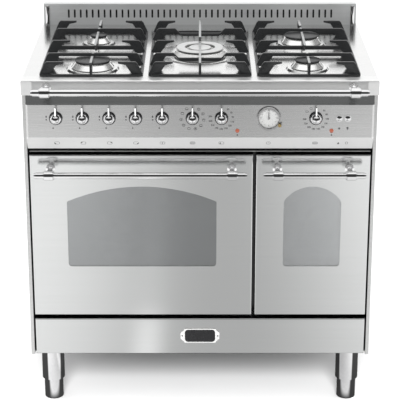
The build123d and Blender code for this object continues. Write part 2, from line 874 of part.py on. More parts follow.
# Oven knobs carry their own shafts, which turn in the switches
for name, x in oven_knobs.items():
    with BuildPart() as oven_knob:
        knob_shape(x)
        shaft_end = switch_y + switch_length - switch_setback - curved_gap
        rod((x, face_y - knob_lift - knob_base_thickness, knob_z), (x, shaft_end, knob_z), spindle_radius)
    save(oven_knob, name)


def toothed_top(x, y, radius, top, count):
    """Flame slots round the top edge of a burner."""
    with BuildSketch(Plane.XY.offset(top - tooth_depth)) as slots:
        with Locations((x, y)):
            with PolarLocations(radius, count):
                Rectangle(tooth_depth * 2, tooth_width)
    extrude(slots.sketch, amount=tooth_depth, mode=Mode.SUBTRACT)


# Burner bodies: a cup through the hob, a polished skirt and a toothed crown
burner_base = hob_top_z + boss_height
cup_low = cup_bottom - burner_base
skirt_top = burner_base + skirt_height
ring_base = hob_top_z - dish_depth
ring_top = ring_base + ring_skirt_height
ring_cup_low = cup_bottom - ring_base
with BuildPart() as burner_bodies:
    for x, y, cap_radius in burners.values():
        cup = cap_radius - burner_cup_margin
        turn_up(
            [(0, cup_low), (cup, cup_low), (cup, 0),
             (cap_radius + skirt_flare, 0), (cap_radius + skirt_flare, skirt_rim),
             (cap_radius, skirt_height - tooth_depth), (cap_radius - crown_step, skirt_height - tooth_depth),
             (cap_radius - crown_step, skirt_height), (0, skirt_height)],
            x, y, burner_base,
        )
        toothed_top(x, y, cap_radius, skirt_top, round(cap_radius * teeth_per_mm))
    turn_up(
        [(0, ring_cup_low), (ring_cup_radius, ring_cup_low), (ring_cup_radius, 0),
         (ring_outer_radius + ring_skirt_flare, 0), (ring_outer_radius + ring_skirt_flare, skirt_rim),
         (ring_outer_radius, ring_skirt_height - tooth_depth),
         (ring_outer_radius - crown_step, ring_skirt_height - tooth_depth),
         (ring_outer_radius - crown_step, ring_skirt_height),
         (ring_inner_radius + crown_step, ring_skirt_height),
         (ring_inner_radius + crown_step, ring_skirt_height / 2),
         (inner_cap_radius - crown_step, ring_skirt_height / 2),
         (inner_cap_radius - crown_step, ring_skirt_height), (0, ring_skirt_height)],
        0, ring_burner_y, ring_base,
    )
    toothed_top(0, ring_burner_y, ring_outer_radius, ring_top, round(ring_outer_radius * teeth_per_mm))
    toothed_top(0, ring_burner_y, inner_cap_radius, ring_top, round(inner_cap_radius * teeth_per_mm))
save(burner_bodies, "burner_bodies")

# Burner caps: crowned discs, and a flat ring with a small cap for the middle burner
with BuildPart() as burner_caps:
    for x, y, cap_radius in burners.values():
        turn_up(
            [(0, 0), (cap_radius, 0), (cap_radius, cap_thickness * cap_edge_share),
             (cap_radius * cap_flat_share, cap_thickness)],
            x, y, skirt_top, crown=cap_crown,
        )
    turn_up(
        [(ring_inner_radius, 0), (ring_outer_radius, 0), (ring_outer_radius, ring_thickness * cap_edge_share),
         (ring_outer_radius - crown_step, ring_thickness), (ring_inner_radius + edge_break, ring_thickness),
         (ring_inner_radius, ring_thickness * cap_edge_share)],
        0, ring_burner_y, ring_top,
    )
    turn_up(
        [(0, 0), (inner_cap_radius, 0), (inner_cap_radius, ring_thickness * cap_edge_share),
         (inner_cap_radius - crown_step, ring_thickness)],
        0, ring_burner_y, ring_top, crown=edge_break,
    )
save(burner_caps, "burner_caps")

# Pan supports
grate_front_y = front_y + centre_burner_y - grate_depth / 2
grate_back_y = grate_front_y + grate_depth
grate_half = grate_width / 2


def rib(x, y, points):
    """A flat rib across the grate at y, from points in its own upright plane."""
    with BuildSketch(front_plane(x, y, hob_top_z)) as shape:
        outline(points)
    extrude(shape.sketch, amount=rib_thickness / 2, both=True)


def cross_points(dip):
    """Outline of a full rib: a leg at each end, and a dip in the middle on the ring burner's grate."""
    w = grate_half
    h = grate_height
    under = h - rib_depth
    right = [(w, grate_bar / 2), (w - rib_lean, h - rib_shoulder), (w - rib_lean - rib_shoulder, h)]
    foot = [(w - rib_foot - rib_haunch, under), (w - rib_foot, grate_bar / 2)]
    top = right
    bottom = []
    if dip > 0:
        top = right + [(dip_half_width + dip, h), (dip_half_width, h - dip)]
        bottom = [(dip_half_width - dip / 3, under - dip), (dip_half_width + dip * 2 / 3, under)]
    mirrored = [(-px, pz) for px, pz in reversed(top)]
    left_under = [(-px, pz) for px, pz in reversed(foot)]
    left_dip = [(-px, pz) for px, pz in reversed(bottom)]
    return top + mirrored + left_under + left_dip + bottom + foot


def finger_points(side):
    """Outline of a short finger that points in from one side of the grate."""
    w = grate_half
    h = grate_height
    points = [
        (w, grate_bar / 2), (w - rib_lean, h - rib_shoulder), (w - rib_lean - rib_shoulder, h),
        (w - finger_length, h),
        (w - finger_length, h - finger_tip), (w - rib_foot - rib_haunch, h - rib_depth),
        (w - rib_foot, grate_bar / 2),
    ]
    return [(side * px, pz) for px, pz in points]


def spine_finger(rail, tip, way):
    """Outline of a spine that starts on the front or back rail and ends in a tip above the burner."""
    h = grate_height
    under = h - spine_depth
    leg = rail + way * grate_bar
    return [
        (rail, grate_bar / 2), (rail, h - rib_shoulder), (rail + way * rib_shoulder, h), (tip, h),
        (tip, h - finger_tip), (leg + way * grate_bar, under), (leg, under - rib_shoulder), (leg, grate_bar / 2),
    ]


def middle_spine(y):
    """Outline of the spine that a post carries on the low rib, with a tip above each burner."""
    h = grate_height
    under = h - spine_depth
    tip = h - finger_tip
    return [
        (y - spine_front_reach, h), (y + spine_back_reach, h), (y + spine_back_reach, tip),
        (y + 2 * spine_post, under), (y + spine_post, low_rib_rise), (y - spine_post, low_rib_rise),
        (y - 2 * spine_post, under), (y - spine_front_reach, tip),
    ]


for name, x, dip in (("left", -burner_x, 0), ("centre", 0, dip_depth), ("right", burner_x, 0)):
    with BuildPart() as grate:
        with BuildSketch(Plane.XY.offset(hob_top_z)) as grate_frame:
            with Locations((x, ring_burner_y)):
                RectangleRounded(grate_width, grate_depth, grate_corner_radius)
                RectangleRounded(
                    grate_width - 2 * grate_bar, grate_depth - 2 * grate_bar, grate_corner_radius - grate_bar,
                    mode=Mode.SUBTRACT,
                )
        extrude(grate_frame.sketch, amount=grate_bar)
        for way in (-1, 1):
            rib(x, ring_burner_y + way * cross_rib_offset, cross_points(dip))
        for y in (-finger_rib_offset, 0, finger_rib_offset):
            for side in (-1, 1):
                rib(x, ring_burner_y + y, finger_points(side))
        if dip == 0:
            low_half = grate_half - rib_foot / 2
            block(
                (x - low_half, ring_burner_y - rib_thickness / 2, hob_top_z + low_rib_rise),
                (x + low_half, ring_burner_y + rib_thickness / 2, hob_top_z + low_rib_rise + low_rib_depth),
            )
            runs = [
                spine_finger(grate_front_y, grate_front_y + spine_length, 1),
                middle_spine(ring_burner_y),
                spine_finger(grate_back_y, grate_back_y - spine_length, -1),
            ]
        else:
            runs = [
                spine_finger(grate_front_y, ring_burner_y - spine_gap, 1),
                spine_finger(grate_back_y, ring_burner_y + spine_gap, -1),
            ]
        for run in runs:
            with BuildSketch(Plane(origin=(x, 0, hob_top_z), x_dir=(0, 1, 0), z_dir=(1, 0, 0))) as spine:
                outline(run)
            extrude(spine.sketch, amount=spine_thickness / 2, both=True)
    save(grate, f"grate_{name}")

# Oven liners: open boxes behind the frame, with pressed shelf rails; the left one has the fan's baffle
fan_space = fan_wall_gap + fan_blade_depth + fan_front_gap
oven_middle_z = (oven_bottom + oven_top) / 2
baffle_y = oven_back_y - fan_space
with BuildPart() as oven_liners:
    for oven_x, oven_width, _, _ in ovens.values():
        half = oven_width / 2
        block(
            (oven_x - half - oven_wall, oven_y, oven_bottom - oven_wall),
            (oven_x + half + oven_wall, oven_back_y + oven_wall, oven_top + oven_wall),
        )
        block((oven_x - half, oven_y, oven_bottom), (oven_x + half, oven_back_y, oven_top),
              mode=Mode.SUBTRACT)
        for level in shelf_rail_levels:
            rail_low = oven_bottom + level
            rail_high = rail_low + shelf_rail_height
            for side in (-1, 1):
                x_wall = oven_x + side * half
                x_rail = oven_x + side * (half - shelf_rail_depth)
                block(
                    (min(x_wall, x_rail), oven_y + shelf_rail_front, rail_low),
                    (max(x_wall, x_rail), oven_back_y - shelf_rail_back, rail_high),
                )
    rod((left_oven_x, oven_back_y, oven_middle_z), (left_oven_x, oven_back_y + oven_wall, oven_middle_z),
        fan_hub_radius, mode=Mode.SUBTRACT)
    block(
        (left_oven_x - baffle_width / 2, baffle_y, oven_middle_z - baffle_height / 2),
        (left_oven_x + baffle_width / 2, baffle_y + baffle_sheet, oven_middle_z + baffle_height / 2),
    )
    for side in (-1, 1):
        for level in (-1, 1):
            post_x = left_oven_x + side * (baffle_width / 2 - baffle_post_inset)
            post_z = oven_middle_z + level * (baffle_height / 2 - baffle_post_inset)
            rod((post_x, baffle_y, post_z), (post_x, oven_back_y, post_z), baffle_post_radius)
    with BuildSketch(front_plane(left_oven_x, baffle_y, oven_middle_z)) as baffle_holes:
        for ring in range(1, baffle_ring_count + 1):
            with PolarLocations(baffle_ring_step * ring, baffle_hole_count * ring):
                Circle(baffle_hole_radius)
    extrude(baffle_holes.sketch, amount=-baffle_sheet, mode=Mode.SUBTRACT)
save(oven_liners, "oven_liners")

# Oven seals: a soft ring round each mouth
with BuildPart() as oven_seals:
    for oven_x, oven_width, _, _ in ovens.values():
        with BuildSketch(front_plane(oven_x, frame_y, oven_middle_z)) as seal:
            inner_width = oven_width + 2 * seal_margin
            inner_height = oven_height + 2 * seal_margin
            RectangleRounded(inner_width + 2 * seal_width, inner_height + 2 * seal_width, seal_width * 2)
            RectangleRounded(inner_width, inner_height, seal_width, mode=Mode.SUBTRACT)
        extrude(seal.sketch, amount=door_seal_space - seal_gap)
save(oven_seals, "oven_seals")

# Oven racks: a rod frame with wires, lying on the lowest shelf rails
rack_z = oven_bottom + shelf_rail_levels[0] + shelf_rail_height
rack_front_y = oven_y + shelf_rail_front
rack_back_y = baffle_y - rack_play - rack_rod
with BuildPart() as oven_racks:
    for oven_x, oven_width, _, _ in ovens.values():
        rack_width = oven_width - 2 * rack_play
        rack_depth = rack_back_y - rack_front_y
        rack_middle = (rack_front_y + rack_back_y) / 2
        with BuildSketch(Plane.XY.offset(rack_z)) as rack_frame:
            with Locations((oven_x, rack_middle)):
                RectangleRounded(rack_width, rack_depth, rack_rod * 2)
                RectangleRounded(rack_width - 2 * rack_rod, rack_depth - 2 * rack_rod, rack_rod,
                                 mode=Mode.SUBTRACT)
        extrude(rack_frame.sketch, amount=rack_rod)
        wire_count = int((rack_width - 2 * rack_rod) / rack_wire_pitch)
        wire_z = rack_z + rack_rod / 2
        for i in range(wire_count):
            wire_x = oven_x + rack_wire_pitch * (i - (wire_count - 1) / 2)
            rod((wire_x, rack_front_y + rack_rod / 2, wire_z), (wire_x, rack_back_y - rack_rod / 2, wire_z),
                rack_wire_radius)
save(oven_racks, "oven_racks")

# Grill elements: a bent heating rod under each ceiling
element_z = oven_top - element_drop
element_front_y = oven_y + element_margin
with BuildPart() as grill_elements:
    for oven_x, oven_width, _, _ in ovens.values():
        reach = oven_width / 2 - element_margin / 2 - element_bend / 2
        inner = reach / 3
        route = [(-reach, oven_back_y), (-reach, element_front_y)]
        if inner > element_bend:
            turn_y = oven_back_y - fan_space - element_margin
            route += [(-inner, element_front_y), (-inner, turn_y), (inner, turn_y), (inner, element_front_y)]
        route += [(reach, element_front_y), (reach, oven_back_y)]
        with BuildLine() as element_path:
            FilletPolyline(*[(oven_x + x, y, element_z) for x, y in route], radius=element_bend)
        with BuildSketch(Plane(origin=element_path.line @ 0, z_dir=element_path.line % 0)) as element_section:
            Circle(element_radius)
        sweep(element_section.sketch, path=element_path.line)
save(grill_elements, "grill_elements")

# Fan motor on the back of the left oven, and the fan on its shaft
motor_y = oven_back_y + oven_wall
with BuildPart() as fan_motor:
    rod((left_oven_x, motor_y, oven_middle_z), (left_oven_x, motor_y + motor_length, oven_middle_z),
        motor_radius)
    rod((left_oven_x, motor_y, oven_middle_z), (left_oven_x, motor_y + motor_bearing, oven_middle_z),
        fan_shaft_radius + running_fit, mode=Mode.SUBTRACT)
save(fan_motor, "fan_motor")

fan_back_y = oven_back_y - fan_wall_gap
fan_shaft_end = motor_y + motor_bearing - curved_gap
with BuildPart() as fan_blade:
    rod((left_oven_x, fan_back_y - fan_blade_depth, oven_middle_z), (left_oven_x, fan_back_y, oven_middle_z),
        fan_hub_radius)
    rod((left_oven_x, fan_back_y, oven_middle_z), (left_oven_x, fan_shaft_end, oven_middle_z),
        fan_shaft_radius)
    rod((left_oven_x, fan_back_y - fan_plate, oven_middle_z), (left_oven_x, fan_back_y, oven_middle_z),
        fan_radius)
    with BuildSketch(front_plane(left_oven_x, fan_back_y, oven_middle_z)) as vanes:
        with PolarLocations(fan_vane_circle, fan_blade_count):
            Rectangle(fan_vane_length, fan_plate, rotation=fan_vane_twist)
    extrude(vanes.sketch, amount=fan_blade_depth)
save(fan_blade, "fan_blade")


def arched_window(width):
    """A window with a low arch, drawn from the door's bottom edge upwards."""
    half = width / 2
    shoulder = window_sill + window_shoulder
    with BuildLine() as edge:
        Polyline((-half, shoulder), (-half, window_sill), (half, window_sill), (half, shoulder))
        ThreePointArc((half, shoulder), (0, shoulder + window_rise), (-half, shoulder))
    make_face(edge.line)


# Doors: an outer pan with an arched window, an inner sheet with the hinge brackets, two panes and a handle
pan_inside = front_y + sheet
liner_y = door_back_y - liner_sheet
window_height = window_shoulder + window_rise
slot_half = hinge_arm_thickness / 2 + hinge_slot_play
slot_reach = hinge_eye_radius + hinge_slot_play
cheek_in = hinge_arm_thickness / 2 + hinge_cheek_play
for name, (oven_x, oven_width, (x0, x1), window_width) in ovens.items():
    hinge_xs = (x0 + hinge_inset, x1 - hinge_inset)
    with BuildPart() as door_panel:
        block((x0, front_y, door_bottom), (x1, door_back_y, door_top))
        fillet(door_panel.faces().sort_by(Axis.Y)[0].edges(), door_edge_radius)
        block((x0 + sheet, pan_inside, door_bottom + sheet), (x1 - sheet, door_back_y, door_top - sheet),
              mode=Mode.SUBTRACT)
        with BuildSketch(front_plane(oven_x, front_y, door_bottom)) as window:
            arched_window(window_width)
            fillet(window.vertices().sort_by(Axis.Y)[:2], window_corner_radius)
        extrude(window.sketch, amount=-sheet, mode=Mode.SUBTRACT)
        for x in hinge_xs:
            block(
                (x - slot_half, hinge_y - slot_reach, door_bottom),
                (x + slot_half, door_back_y, door_bottom + sheet),
                mode=Mode.SUBTRACT,
            )
    save(door_panel, f"door_panel_{name}")

    view_low = door_bottom + window_sill - pane_lap
    view_high = view_low + window_height + 2 * pane_lap
    view_half = window_width / 2 + pane_lap
    with BuildPart() as door_liner:
        block((x0 + sheet, liner_y, door_bottom + sheet), (x1 - sheet, door_back_y, door_top - sheet))
        block((oven_x - view_half, liner_y, view_low), (oven_x + view_half, door_back_y, view_high),
              mode=Mode.SUBTRACT)
        for x in hinge_xs:
            block((x - slot_half, liner_y, door_bottom), (x + slot_half, door_back_y, hinge_z + slot_reach),
                  mode=Mode.SUBTRACT)
            for side in (-1, 1):
                x_near = x + side * cheek_in
                x_far = x + side * (cheek_in + hinge_cheek)
                block(
                    (min(x_near, x_far), pan_inside, door_bottom + sheet),
                    (max(x_near, x_far), liner_y, door_bottom + hinge_bracket_height),
                )
            rod((x - cheek_in, hinge_y, hinge_z), (x + cheek_in, hinge_y, hinge_z), hinge_pin_radius)
    save(door_liner, f"door_liner_{name}")

    with BuildPart() as door_glass:
        block(
            (oven_x - view_half, pan_inside, view_low),
            (oven_x + view_half, pan_inside + pane_thickness, view_high),
        )
        block(
            (oven_x - view_half - pane_lap, liner_y - pane_thickness, view_low - pane_lap),
            (oven_x + view_half + pane_lap, liner_y, view_high + pane_lap),
        )
    save(door_glass, f"door_glass_{name}")

    with BuildPart() as door_handle:
        bar_low = x0 + handle_inset
        bar_high = x1 - handle_inset
        posts = (bar_low + handle_post_inset, bar_high - handle_post_inset)
        bar_on_posts(bar_low, bar_high, posts, handle_y, handle_z, bar_radius, front_y)
    save(door_handle, f"door_handle_{name}")

# Plinth drawer: a shallow pan for the front and an open box that hangs by its lips
with BuildPart() as drawer_front:
    drawer_back_y = front_y + drawer_front_depth
    block((-door_half, front_y, drawer_bottom), (door_half, drawer_back_y, drawer_top))
    fillet(drawer_front.faces().sort_by(Axis.Y)[0].edges(), door_edge_radius)
    block(
        (-door_half + sheet, pan_inside, drawer_bottom + sheet),
        (door_half - sheet, drawer_back_y, drawer_top - sheet),
        mode=Mode.SUBTRACT,
    )
save(drawer_front, "drawer_front")

with BuildPart() as drawer_box:
    box_back_y = drawer_back_y + drawer_box_depth
    lip_half = drawer_box_half + drawer_lip
    block(
        (-door_half + sheet, drawer_back_y, drawer_floor),
        (door_half - sheet, drawer_back_y + sheet, runner_top + sheet),
    )
    block((-drawer_box_half, drawer_back_y, drawer_floor), (drawer_box_half, box_back_y, runner_top + sheet))
    block((-lip_half, drawer_back_y, runner_top), (lip_half, box_back_y, runner_top + sheet))
    block(
        (-drawer_box_half + sheet, drawer_back_y + sheet, drawer_floor + sheet),
        (drawer_box_half - sheet, box_back_y - sheet, runner_top + sheet),
        mode=Mode.SUBTRACT,
    )
save(drawer_box, "drawer_box")

# Legs: a flanged sleeve under the base tray, and a foot that screws out of it
leg_x = carcass_half - leg_side_inset
leg_front_y = front_y + leg_front_inset
leg_back_y = rear_y - leg_rear_inset
foot_top = leg_height - sleeve_cap
legs = {
    "front_left": (-leg_x, leg_front_y),
    "front_right": (leg_x, leg_front_y),
    "rear_left": (-leg_x, leg_back_y),
    "rear_right": (leg_x, leg_back_y),
}
with BuildPart() as leg_sleeves:
    for x, y in legs.values():
        bore = foot_radius + curved_gap
        turn_up(
            [(bore, sleeve_bottom), (sleeve_radius, sleeve_bottom),
             (sleeve_radius, leg_height - sleeve_flange_thickness),
             (sleeve_flange_radius, leg_height - sleeve_flange_thickness), (sleeve_flange_radius, leg_height),
             (0, leg_height), (0, foot_top), (bore, foot_top)],
            x, y, 0,
        )
save(leg_sleeves, "leg_sleeves")

for name, (x, y) in legs.items():
    with BuildPart() as foot:
        turn_up(
            [(0, 0), (foot_radius - foot_chamfer, 0), (foot_radius, foot_chamfer), (foot_radius, foot_top),
             (0, foot_top)],
            x, y, 0,
        )
    save(foot, f"foot_{name}")

# Terminal box on the rear panel, with a cable gland below
with BuildPart() as terminal_box:
    x0 = terminal_x - terminal_width / 2
    x1 = terminal_x + terminal_width / 2
    z0 = terminal_z
    z1 = terminal_z + terminal_height
    gland_y = rear_y + terminal_depth / 2
    block((x0, rear_y, z0), (x1, rear_y + terminal_depth, z1))
    block(
        (x0 + terminal_wall, rear_y, z0 + terminal_wall),
        (x1 - terminal_wall, rear_y + terminal_depth - terminal_wall, z1 - terminal_wall),
        mode=Mode.SUBTRACT,
    )
    rod((terminal_x, gland_y, z0 - gland_length), (terminal_x, gland_y, z0), gland_radius + gland_wall)
    rod((terminal_x, gland_y, z0 - gland_length), (terminal_x, gland_y, z0 + terminal_wall), gland_radius,
        mode=Mode.SUBTRACT)
save(terminal_box, "terminal_box")
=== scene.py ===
import bpy
import math
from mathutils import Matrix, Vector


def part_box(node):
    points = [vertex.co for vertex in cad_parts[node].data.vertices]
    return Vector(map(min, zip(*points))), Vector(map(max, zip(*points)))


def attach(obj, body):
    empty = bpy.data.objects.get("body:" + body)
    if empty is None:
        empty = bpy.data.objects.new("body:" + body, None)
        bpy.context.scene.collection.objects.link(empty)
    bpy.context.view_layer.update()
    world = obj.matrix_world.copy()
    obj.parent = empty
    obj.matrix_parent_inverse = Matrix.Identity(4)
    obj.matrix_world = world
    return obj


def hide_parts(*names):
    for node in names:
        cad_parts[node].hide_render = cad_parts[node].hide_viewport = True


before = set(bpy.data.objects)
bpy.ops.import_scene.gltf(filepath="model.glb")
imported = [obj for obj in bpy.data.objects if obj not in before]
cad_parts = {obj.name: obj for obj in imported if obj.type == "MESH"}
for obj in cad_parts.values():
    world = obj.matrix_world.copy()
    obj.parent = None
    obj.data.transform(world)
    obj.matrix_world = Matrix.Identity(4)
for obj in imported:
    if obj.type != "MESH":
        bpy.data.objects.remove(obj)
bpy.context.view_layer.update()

# Legs: four flanged tubes under the base tray, and the feet that screw out of them.
# Pressed steel, chromium plated and polished; the shine is broken by faint handling marks.
mask_span = (0.0, 1.0)
noise_span = (0.3, 0.7)


def set_inputs(node, values):
    """Put plain values on a node's inputs; a name has _ for each space."""
    for name, value in values.items():
        node.inputs[name.replace("_", " ")].default_value = value
    return node


def place(tree, kind, **values):
    """A new node of that kind in a tree."""
    return set_inputs(tree.nodes.new(kind), values)


def feed(node, socket, source):
    """Link a node's input to a source in the same tree."""
    node.id_data.links.new(source, node.inputs[socket])
    return node


def new_finish(name, **values):
    """A new material with plain values on its shader; gives the material, its tree and its shader."""
    material = bpy.data.materials.new(name)
    material.use_nodes = True
    shader = set_inputs(material.node_tree.nodes["Principled BSDF"], values)
    return material, material.node_tree, shader


def new_group(name, inputs, outputs):
    """An empty node group with those sockets; gives its tree, its input node and its output node."""
    tree = bpy.data.node_groups.new(name, "ShaderNodeTree")
    for socket, kind in inputs:
        tree.interface.new_socket(socket, in_out="INPUT", socket_type=kind)
    for socket, kind in outputs:
        tree.interface.new_socket(socket, in_out="OUTPUT", socket_type=kind)
    return tree, tree.nodes.new("NodeGroupInput"), tree.nodes.new("NodeGroupOutput")


def combine(kind, first, second=0.0):
    """A Math node on a source and a second source or number."""
    node = first.id_data.nodes.new("ShaderNodeMath")
    node.operation = kind
    feed(node, 0, first)
    if isinstance(second, float):
        node.inputs[1].default_value = second
    else:
        feed(node, 1, second)
    return node.outputs["Value"]


def spread(source, low, high, span=mask_span):
    """A Map Range node that takes the source's span to the span wanted."""
    node = place(source.id_data, "ShaderNodeMapRange",
                 From_Min=span[0], From_Max=span[1], To_Min=low, To_Max=high)
    return feed(node, "Value", source).outputs["Result"]


def tint(shader, mask, dark, light, socket="Base Color"):
    """Run one of a shader's colours from dark to light with the mask."""
    node = mask.id_data.nodes.new("ShaderNodeMix")
    node.data_type = "RGBA"
    ends = {end.identifier: end for end in (*node.inputs, *node.outputs)}
    ends["A_Color"].default_value = (*dark, 1)
    ends["B_Color"].default_value = (*light, 1)
    node.id_data.links.new(mask, ends["Factor_Float"])
    feed(shader, socket, ends["Result_Color"])


def vary(shader, socket, mask, low, high, span=mask_span):
    """Run one of a shader's values from low to high with the mask."""
    feed(shader, socket, spread(mask, low, high, span))


def object_place(tree):
    """The Object coordinates of the piece that wears the material."""
    return tree.nodes.new("ShaderNodeTexCoord").outputs["Object"]


def dress(material, *names):
    """Give the named CAD nodes this finish."""
    for name in names:
        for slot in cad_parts[name].material_slots:
            slot.material = material


finger_scale = 9.0
marks_span = (0.12, 0.42)
marks_tree, marks_in, marks_out = new_group(
    "handling_marks",
    [("Vector", "NodeSocketVector"), ("Scale", "NodeSocketFloat")],
    [("Marks", "NodeSocketFloat")],
)
cloud = place(marks_tree, "ShaderNodeTexNoise", Detail=3.0, Roughness=0.6)
finger = place(marks_tree, "ShaderNodeTexNoise", Detail=5.0, Roughness=0.7)
for noise in (cloud, finger):
    feed(noise, "Vector", marks_in.outputs["Vector"])
feed(cloud, "Scale", marks_in.outputs["Scale"])
feed(finger, "Scale", combine("MULTIPLY", marks_in.outputs["Scale"], finger_scale))
both = combine("MULTIPLY", cloud.outputs["Fac"], finger.outputs["Fac"])
feed(marks_out, "Marks", spread(both, 0.0, 1.0, marks_span))


def handled(tree, scale):
    """The handling marks as a mask."""
    node = tree.nodes.new("ShaderNodeGroup")
    node.node_tree = marks_tree
    node.inputs["Scale"].default_value = scale
    return feed(node, "Vector", object_place(tree)).outputs["Marks"]


def marked_finish(name, scale, dark, light, smooth, rough, **values):
    """A finish whose colour and shine change with the handling marks."""
    material, tree, shader = new_finish(name, **values)
    marks = handled(tree, scale)
    tint(shader, marks, dark, light)
    vary(shader, "Roughness", marks, smooth, rough)
    return material


chrome = marked_finish(
    "polished_chrome", scale=14.0, dark=(0.80, 0.80, 0.81), light=(0.90, 0.90, 0.90),
    smooth=0.035, rough=0.085, Metallic=1.0)
dress(chrome, "leg_sleeves", "foot_front_left", "foot_front_right", "foot_rear_left", "foot_rear_right")

# Carcass sheets that the kitchen hides: base tray, rear panel, drawer box and the fan's motor can.
# Galvanised steel, folded and spot welded, with the crystal spangle of hot zinc.
zinc, zinc_tree, zinc_shader = new_finish("galvanised_sheet", Metallic=1.0)
spangle = place(zinc_tree, "ShaderNodeTexVoronoi", Scale=90.0)
feed(spangle, "Vector", object_place(zinc_tree))
crystal = zinc_tree.nodes.new("ShaderNodeSeparateColor")
feed(crystal, "Color", spangle.outputs["Color"])
tint(zinc_shader, crystal.outputs["Red"], (0.42, 0.44, 0.45), (0.62, 0.64, 0.65))
vary(zinc_shader, "Roughness", crystal.outputs["Green"], 0.32, 0.5)
dress(zinc, "base_tray", "rear_panel", "drawer_box", "fan_motor")

# Stainless skins: side panels, door panels and the drawer's front.
# Satin sheet, brushed in one direction before it is folded, so that light draws out across the grain.
grain_tree, grain_in, grain_out = new_group(
    "brush_grain",
    [("Vector", "NodeSocketVector")],
    [("Grain", "NodeSocketFloat"), ("Bands", "NodeSocketFloat")],
)
fine_lines = place(grain_tree, "ShaderNodeTexNoise", Scale=1.0, Detail=3.0, Roughness=0.65)
broad_lines = place(grain_tree, "ShaderNodeTexNoise", Scale=0.11, Detail=2.0, Roughness=0.5)
for noise, output in ((fine_lines, "Grain"), (broad_lines, "Bands")):
    feed(noise, "Vector", grain_in.outputs["Vector"])
    feed(grain_out, output, noise.outputs["Fac"])
brush_depth = 0.0002
along_x = (9.0, 1300.0, 1300.0)
along_y = (1300.0, 9.0, 1300.0)


def bump_from(shader, height, strength, depth):
    """Fine relief on a shader, from a mask."""
    node = place(height.id_data, "ShaderNodeBump", Strength=strength, Distance=depth)
    feed(shader, "Normal", feed(node, "Height", height).outputs["Normal"])


def brush_lines(tree, lines_per_metre):
    """The brush grain as masks, along the direction that has the fewest lines to the metre."""
    stretch = place(tree, "ShaderNodeMapping", Scale=lines_per_metre)
    feed(stretch, "Vector", object_place(tree))
    node = tree.nodes.new("ShaderNodeGroup")
    node.node_tree = grain_tree
    return feed(node, "Vector", stretch.outputs["Vector"]).outputs


def brushed_steel(name, lines_per_metre, dark, light, smooth, rough, relief):
    """Satin steel, brushed one way."""
    material, tree, shader = new_finish(name, Metallic=1.0)
    lines = brush_lines(tree, lines_per_metre)
    tint(shader, spread(lines["Bands"], 0.0, 1.0, noise_span), dark, light)
    vary(shader, "Roughness", lines["Grain"], smooth, rough, noise_span)
    bump_from(shader, lines["Grain"], relief, brush_depth)
    return material


door_steel = brushed_steel(
    "brushed_door_steel", along_x, dark=(0.745, 0.755, 0.75), light=(0.76, 0.768, 0.765),
    smooth=0.12, rough=0.16, relief=0.008)
side_steel = brushed_steel(
    "brushed_side_steel", along_y, dark=(0.68, 0.685, 0.68), light=(0.72, 0.725, 0.715),
    smooth=0.25, rough=0.31, relief=0.004)
dress(door_steel, "door_panel_left", "door_panel_right", "drawer_front")
dress(side_steel, "side_panels")

# Hob top: one pressed tray with a folded front, so that spills stay on it.
# Stainless steel, brushed from side to side; cloths and sleeves have rubbed its front dull.


def soft_step(source, start, stop, low=0.0, high=1.0):
    """A smooth rise from low to high between two places."""
    step = spread(source, low, high, (start, stop))
    step.node.interpolation_type = "SMOOTHSTEP"
    return step


def raised(base, mask, amount):
    """The base value, raised by that amount where the mask is one."""
    return combine("ADD", base, combine("MULTIPLY", mask, amount))


def along(tree, axis):
    """One of the Object coordinates of the piece."""
    node = tree.nodes.new("ShaderNodeSeparateXYZ")
    return feed(node, "Vector", object_place(tree)).outputs[axis]


def from_middle(tree):
    """How far a point lies to either side of the cooker's middle."""
    return combine("ABSOLUTE", along(tree, "X"))


hob_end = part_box("hob_top")[1].x
hob_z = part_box("upstand")[0].z
grate_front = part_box("grate_left")[0].y
rub_line = grate_front + 0.010
rub_fade = 0.002
rub_roughness = 0.2
fold_reach = 0.005
end_width = 0.029
end_fade = 0.002
hob_steel = brushed_steel(
    "brushed_hob_steel", along_x, dark=(0.79, 0.795, 0.79), light=(0.82, 0.82, 0.815),
    smooth=0.14, rough=0.20, relief=0.003)
hob_tree = hob_steel.node_tree
hob_shader = hob_tree.nodes["Principled BSDF"]
in_front = soft_step(along(hob_tree, "Y"), rub_line + rub_fade, rub_line - rub_fade)
near_top = soft_step(along(hob_tree, "Z"), hob_z - fold_reach, hob_z - fold_reach / 4)
at_ends = soft_step(from_middle(hob_tree), hob_end - end_width, hob_end - end_width + end_fade)
scoured = combine("MULTIPLY", in_front, combine("MAXIMUM", near_top, at_ends))
hob_roughness = hob_shader.inputs["Roughness"].links[0].from_socket
feed(hob_shader, "Roughness", raised(hob_roughness, in_front, rub_roughness))
vary(hob_shader, "Metallic", scoured, 1.0, 0.78)
dress(hob_steel, "hob_top")

# Upstand: a folded box behind the hob with a row of vent slots in its front sheet.
# Satin stainless steel outside, matt and dull; the inside is painted near black as painted shade, so that the
# vent slots read dark.
upstand_low, upstand_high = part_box("upstand")
upstand_sheet = 0.0012
skin = upstand_sheet / 4
upstand_steel, upstand_tree, upstand_shader = new_finish("dull_upstand_steel", Metallic=0.75)
upstand_lines = brush_lines(upstand_tree, along_x)
painted_shade_inside = combine("GREATER_THAN", along(upstand_tree, "Y"), upstand_low.y + skin)
for reach, edge in (
    (along(upstand_tree, "Y"), upstand_high.y - skin),
    (along(upstand_tree, "Z"), upstand_high.z - skin),
    (from_middle(upstand_tree), upstand_high.x - 2 * upstand_sheet),
):
    painted_shade_inside = combine("MULTIPLY", painted_shade_inside, combine("LESS_THAN", reach, edge))
# Painted shade: the inside of the box is made near black.
upstand_tone = raised(spread(upstand_lines["Bands"], 0.93, 1.0, noise_span), painted_shade_inside, -0.9)
tint(upstand_shader, upstand_tone, (0.005, 0.005, 0.005), (0.64, 0.65, 0.65))
vary(upstand_shader, "Roughness", upstand_lines["Grain"], 0.36, 0.44, noise_span)
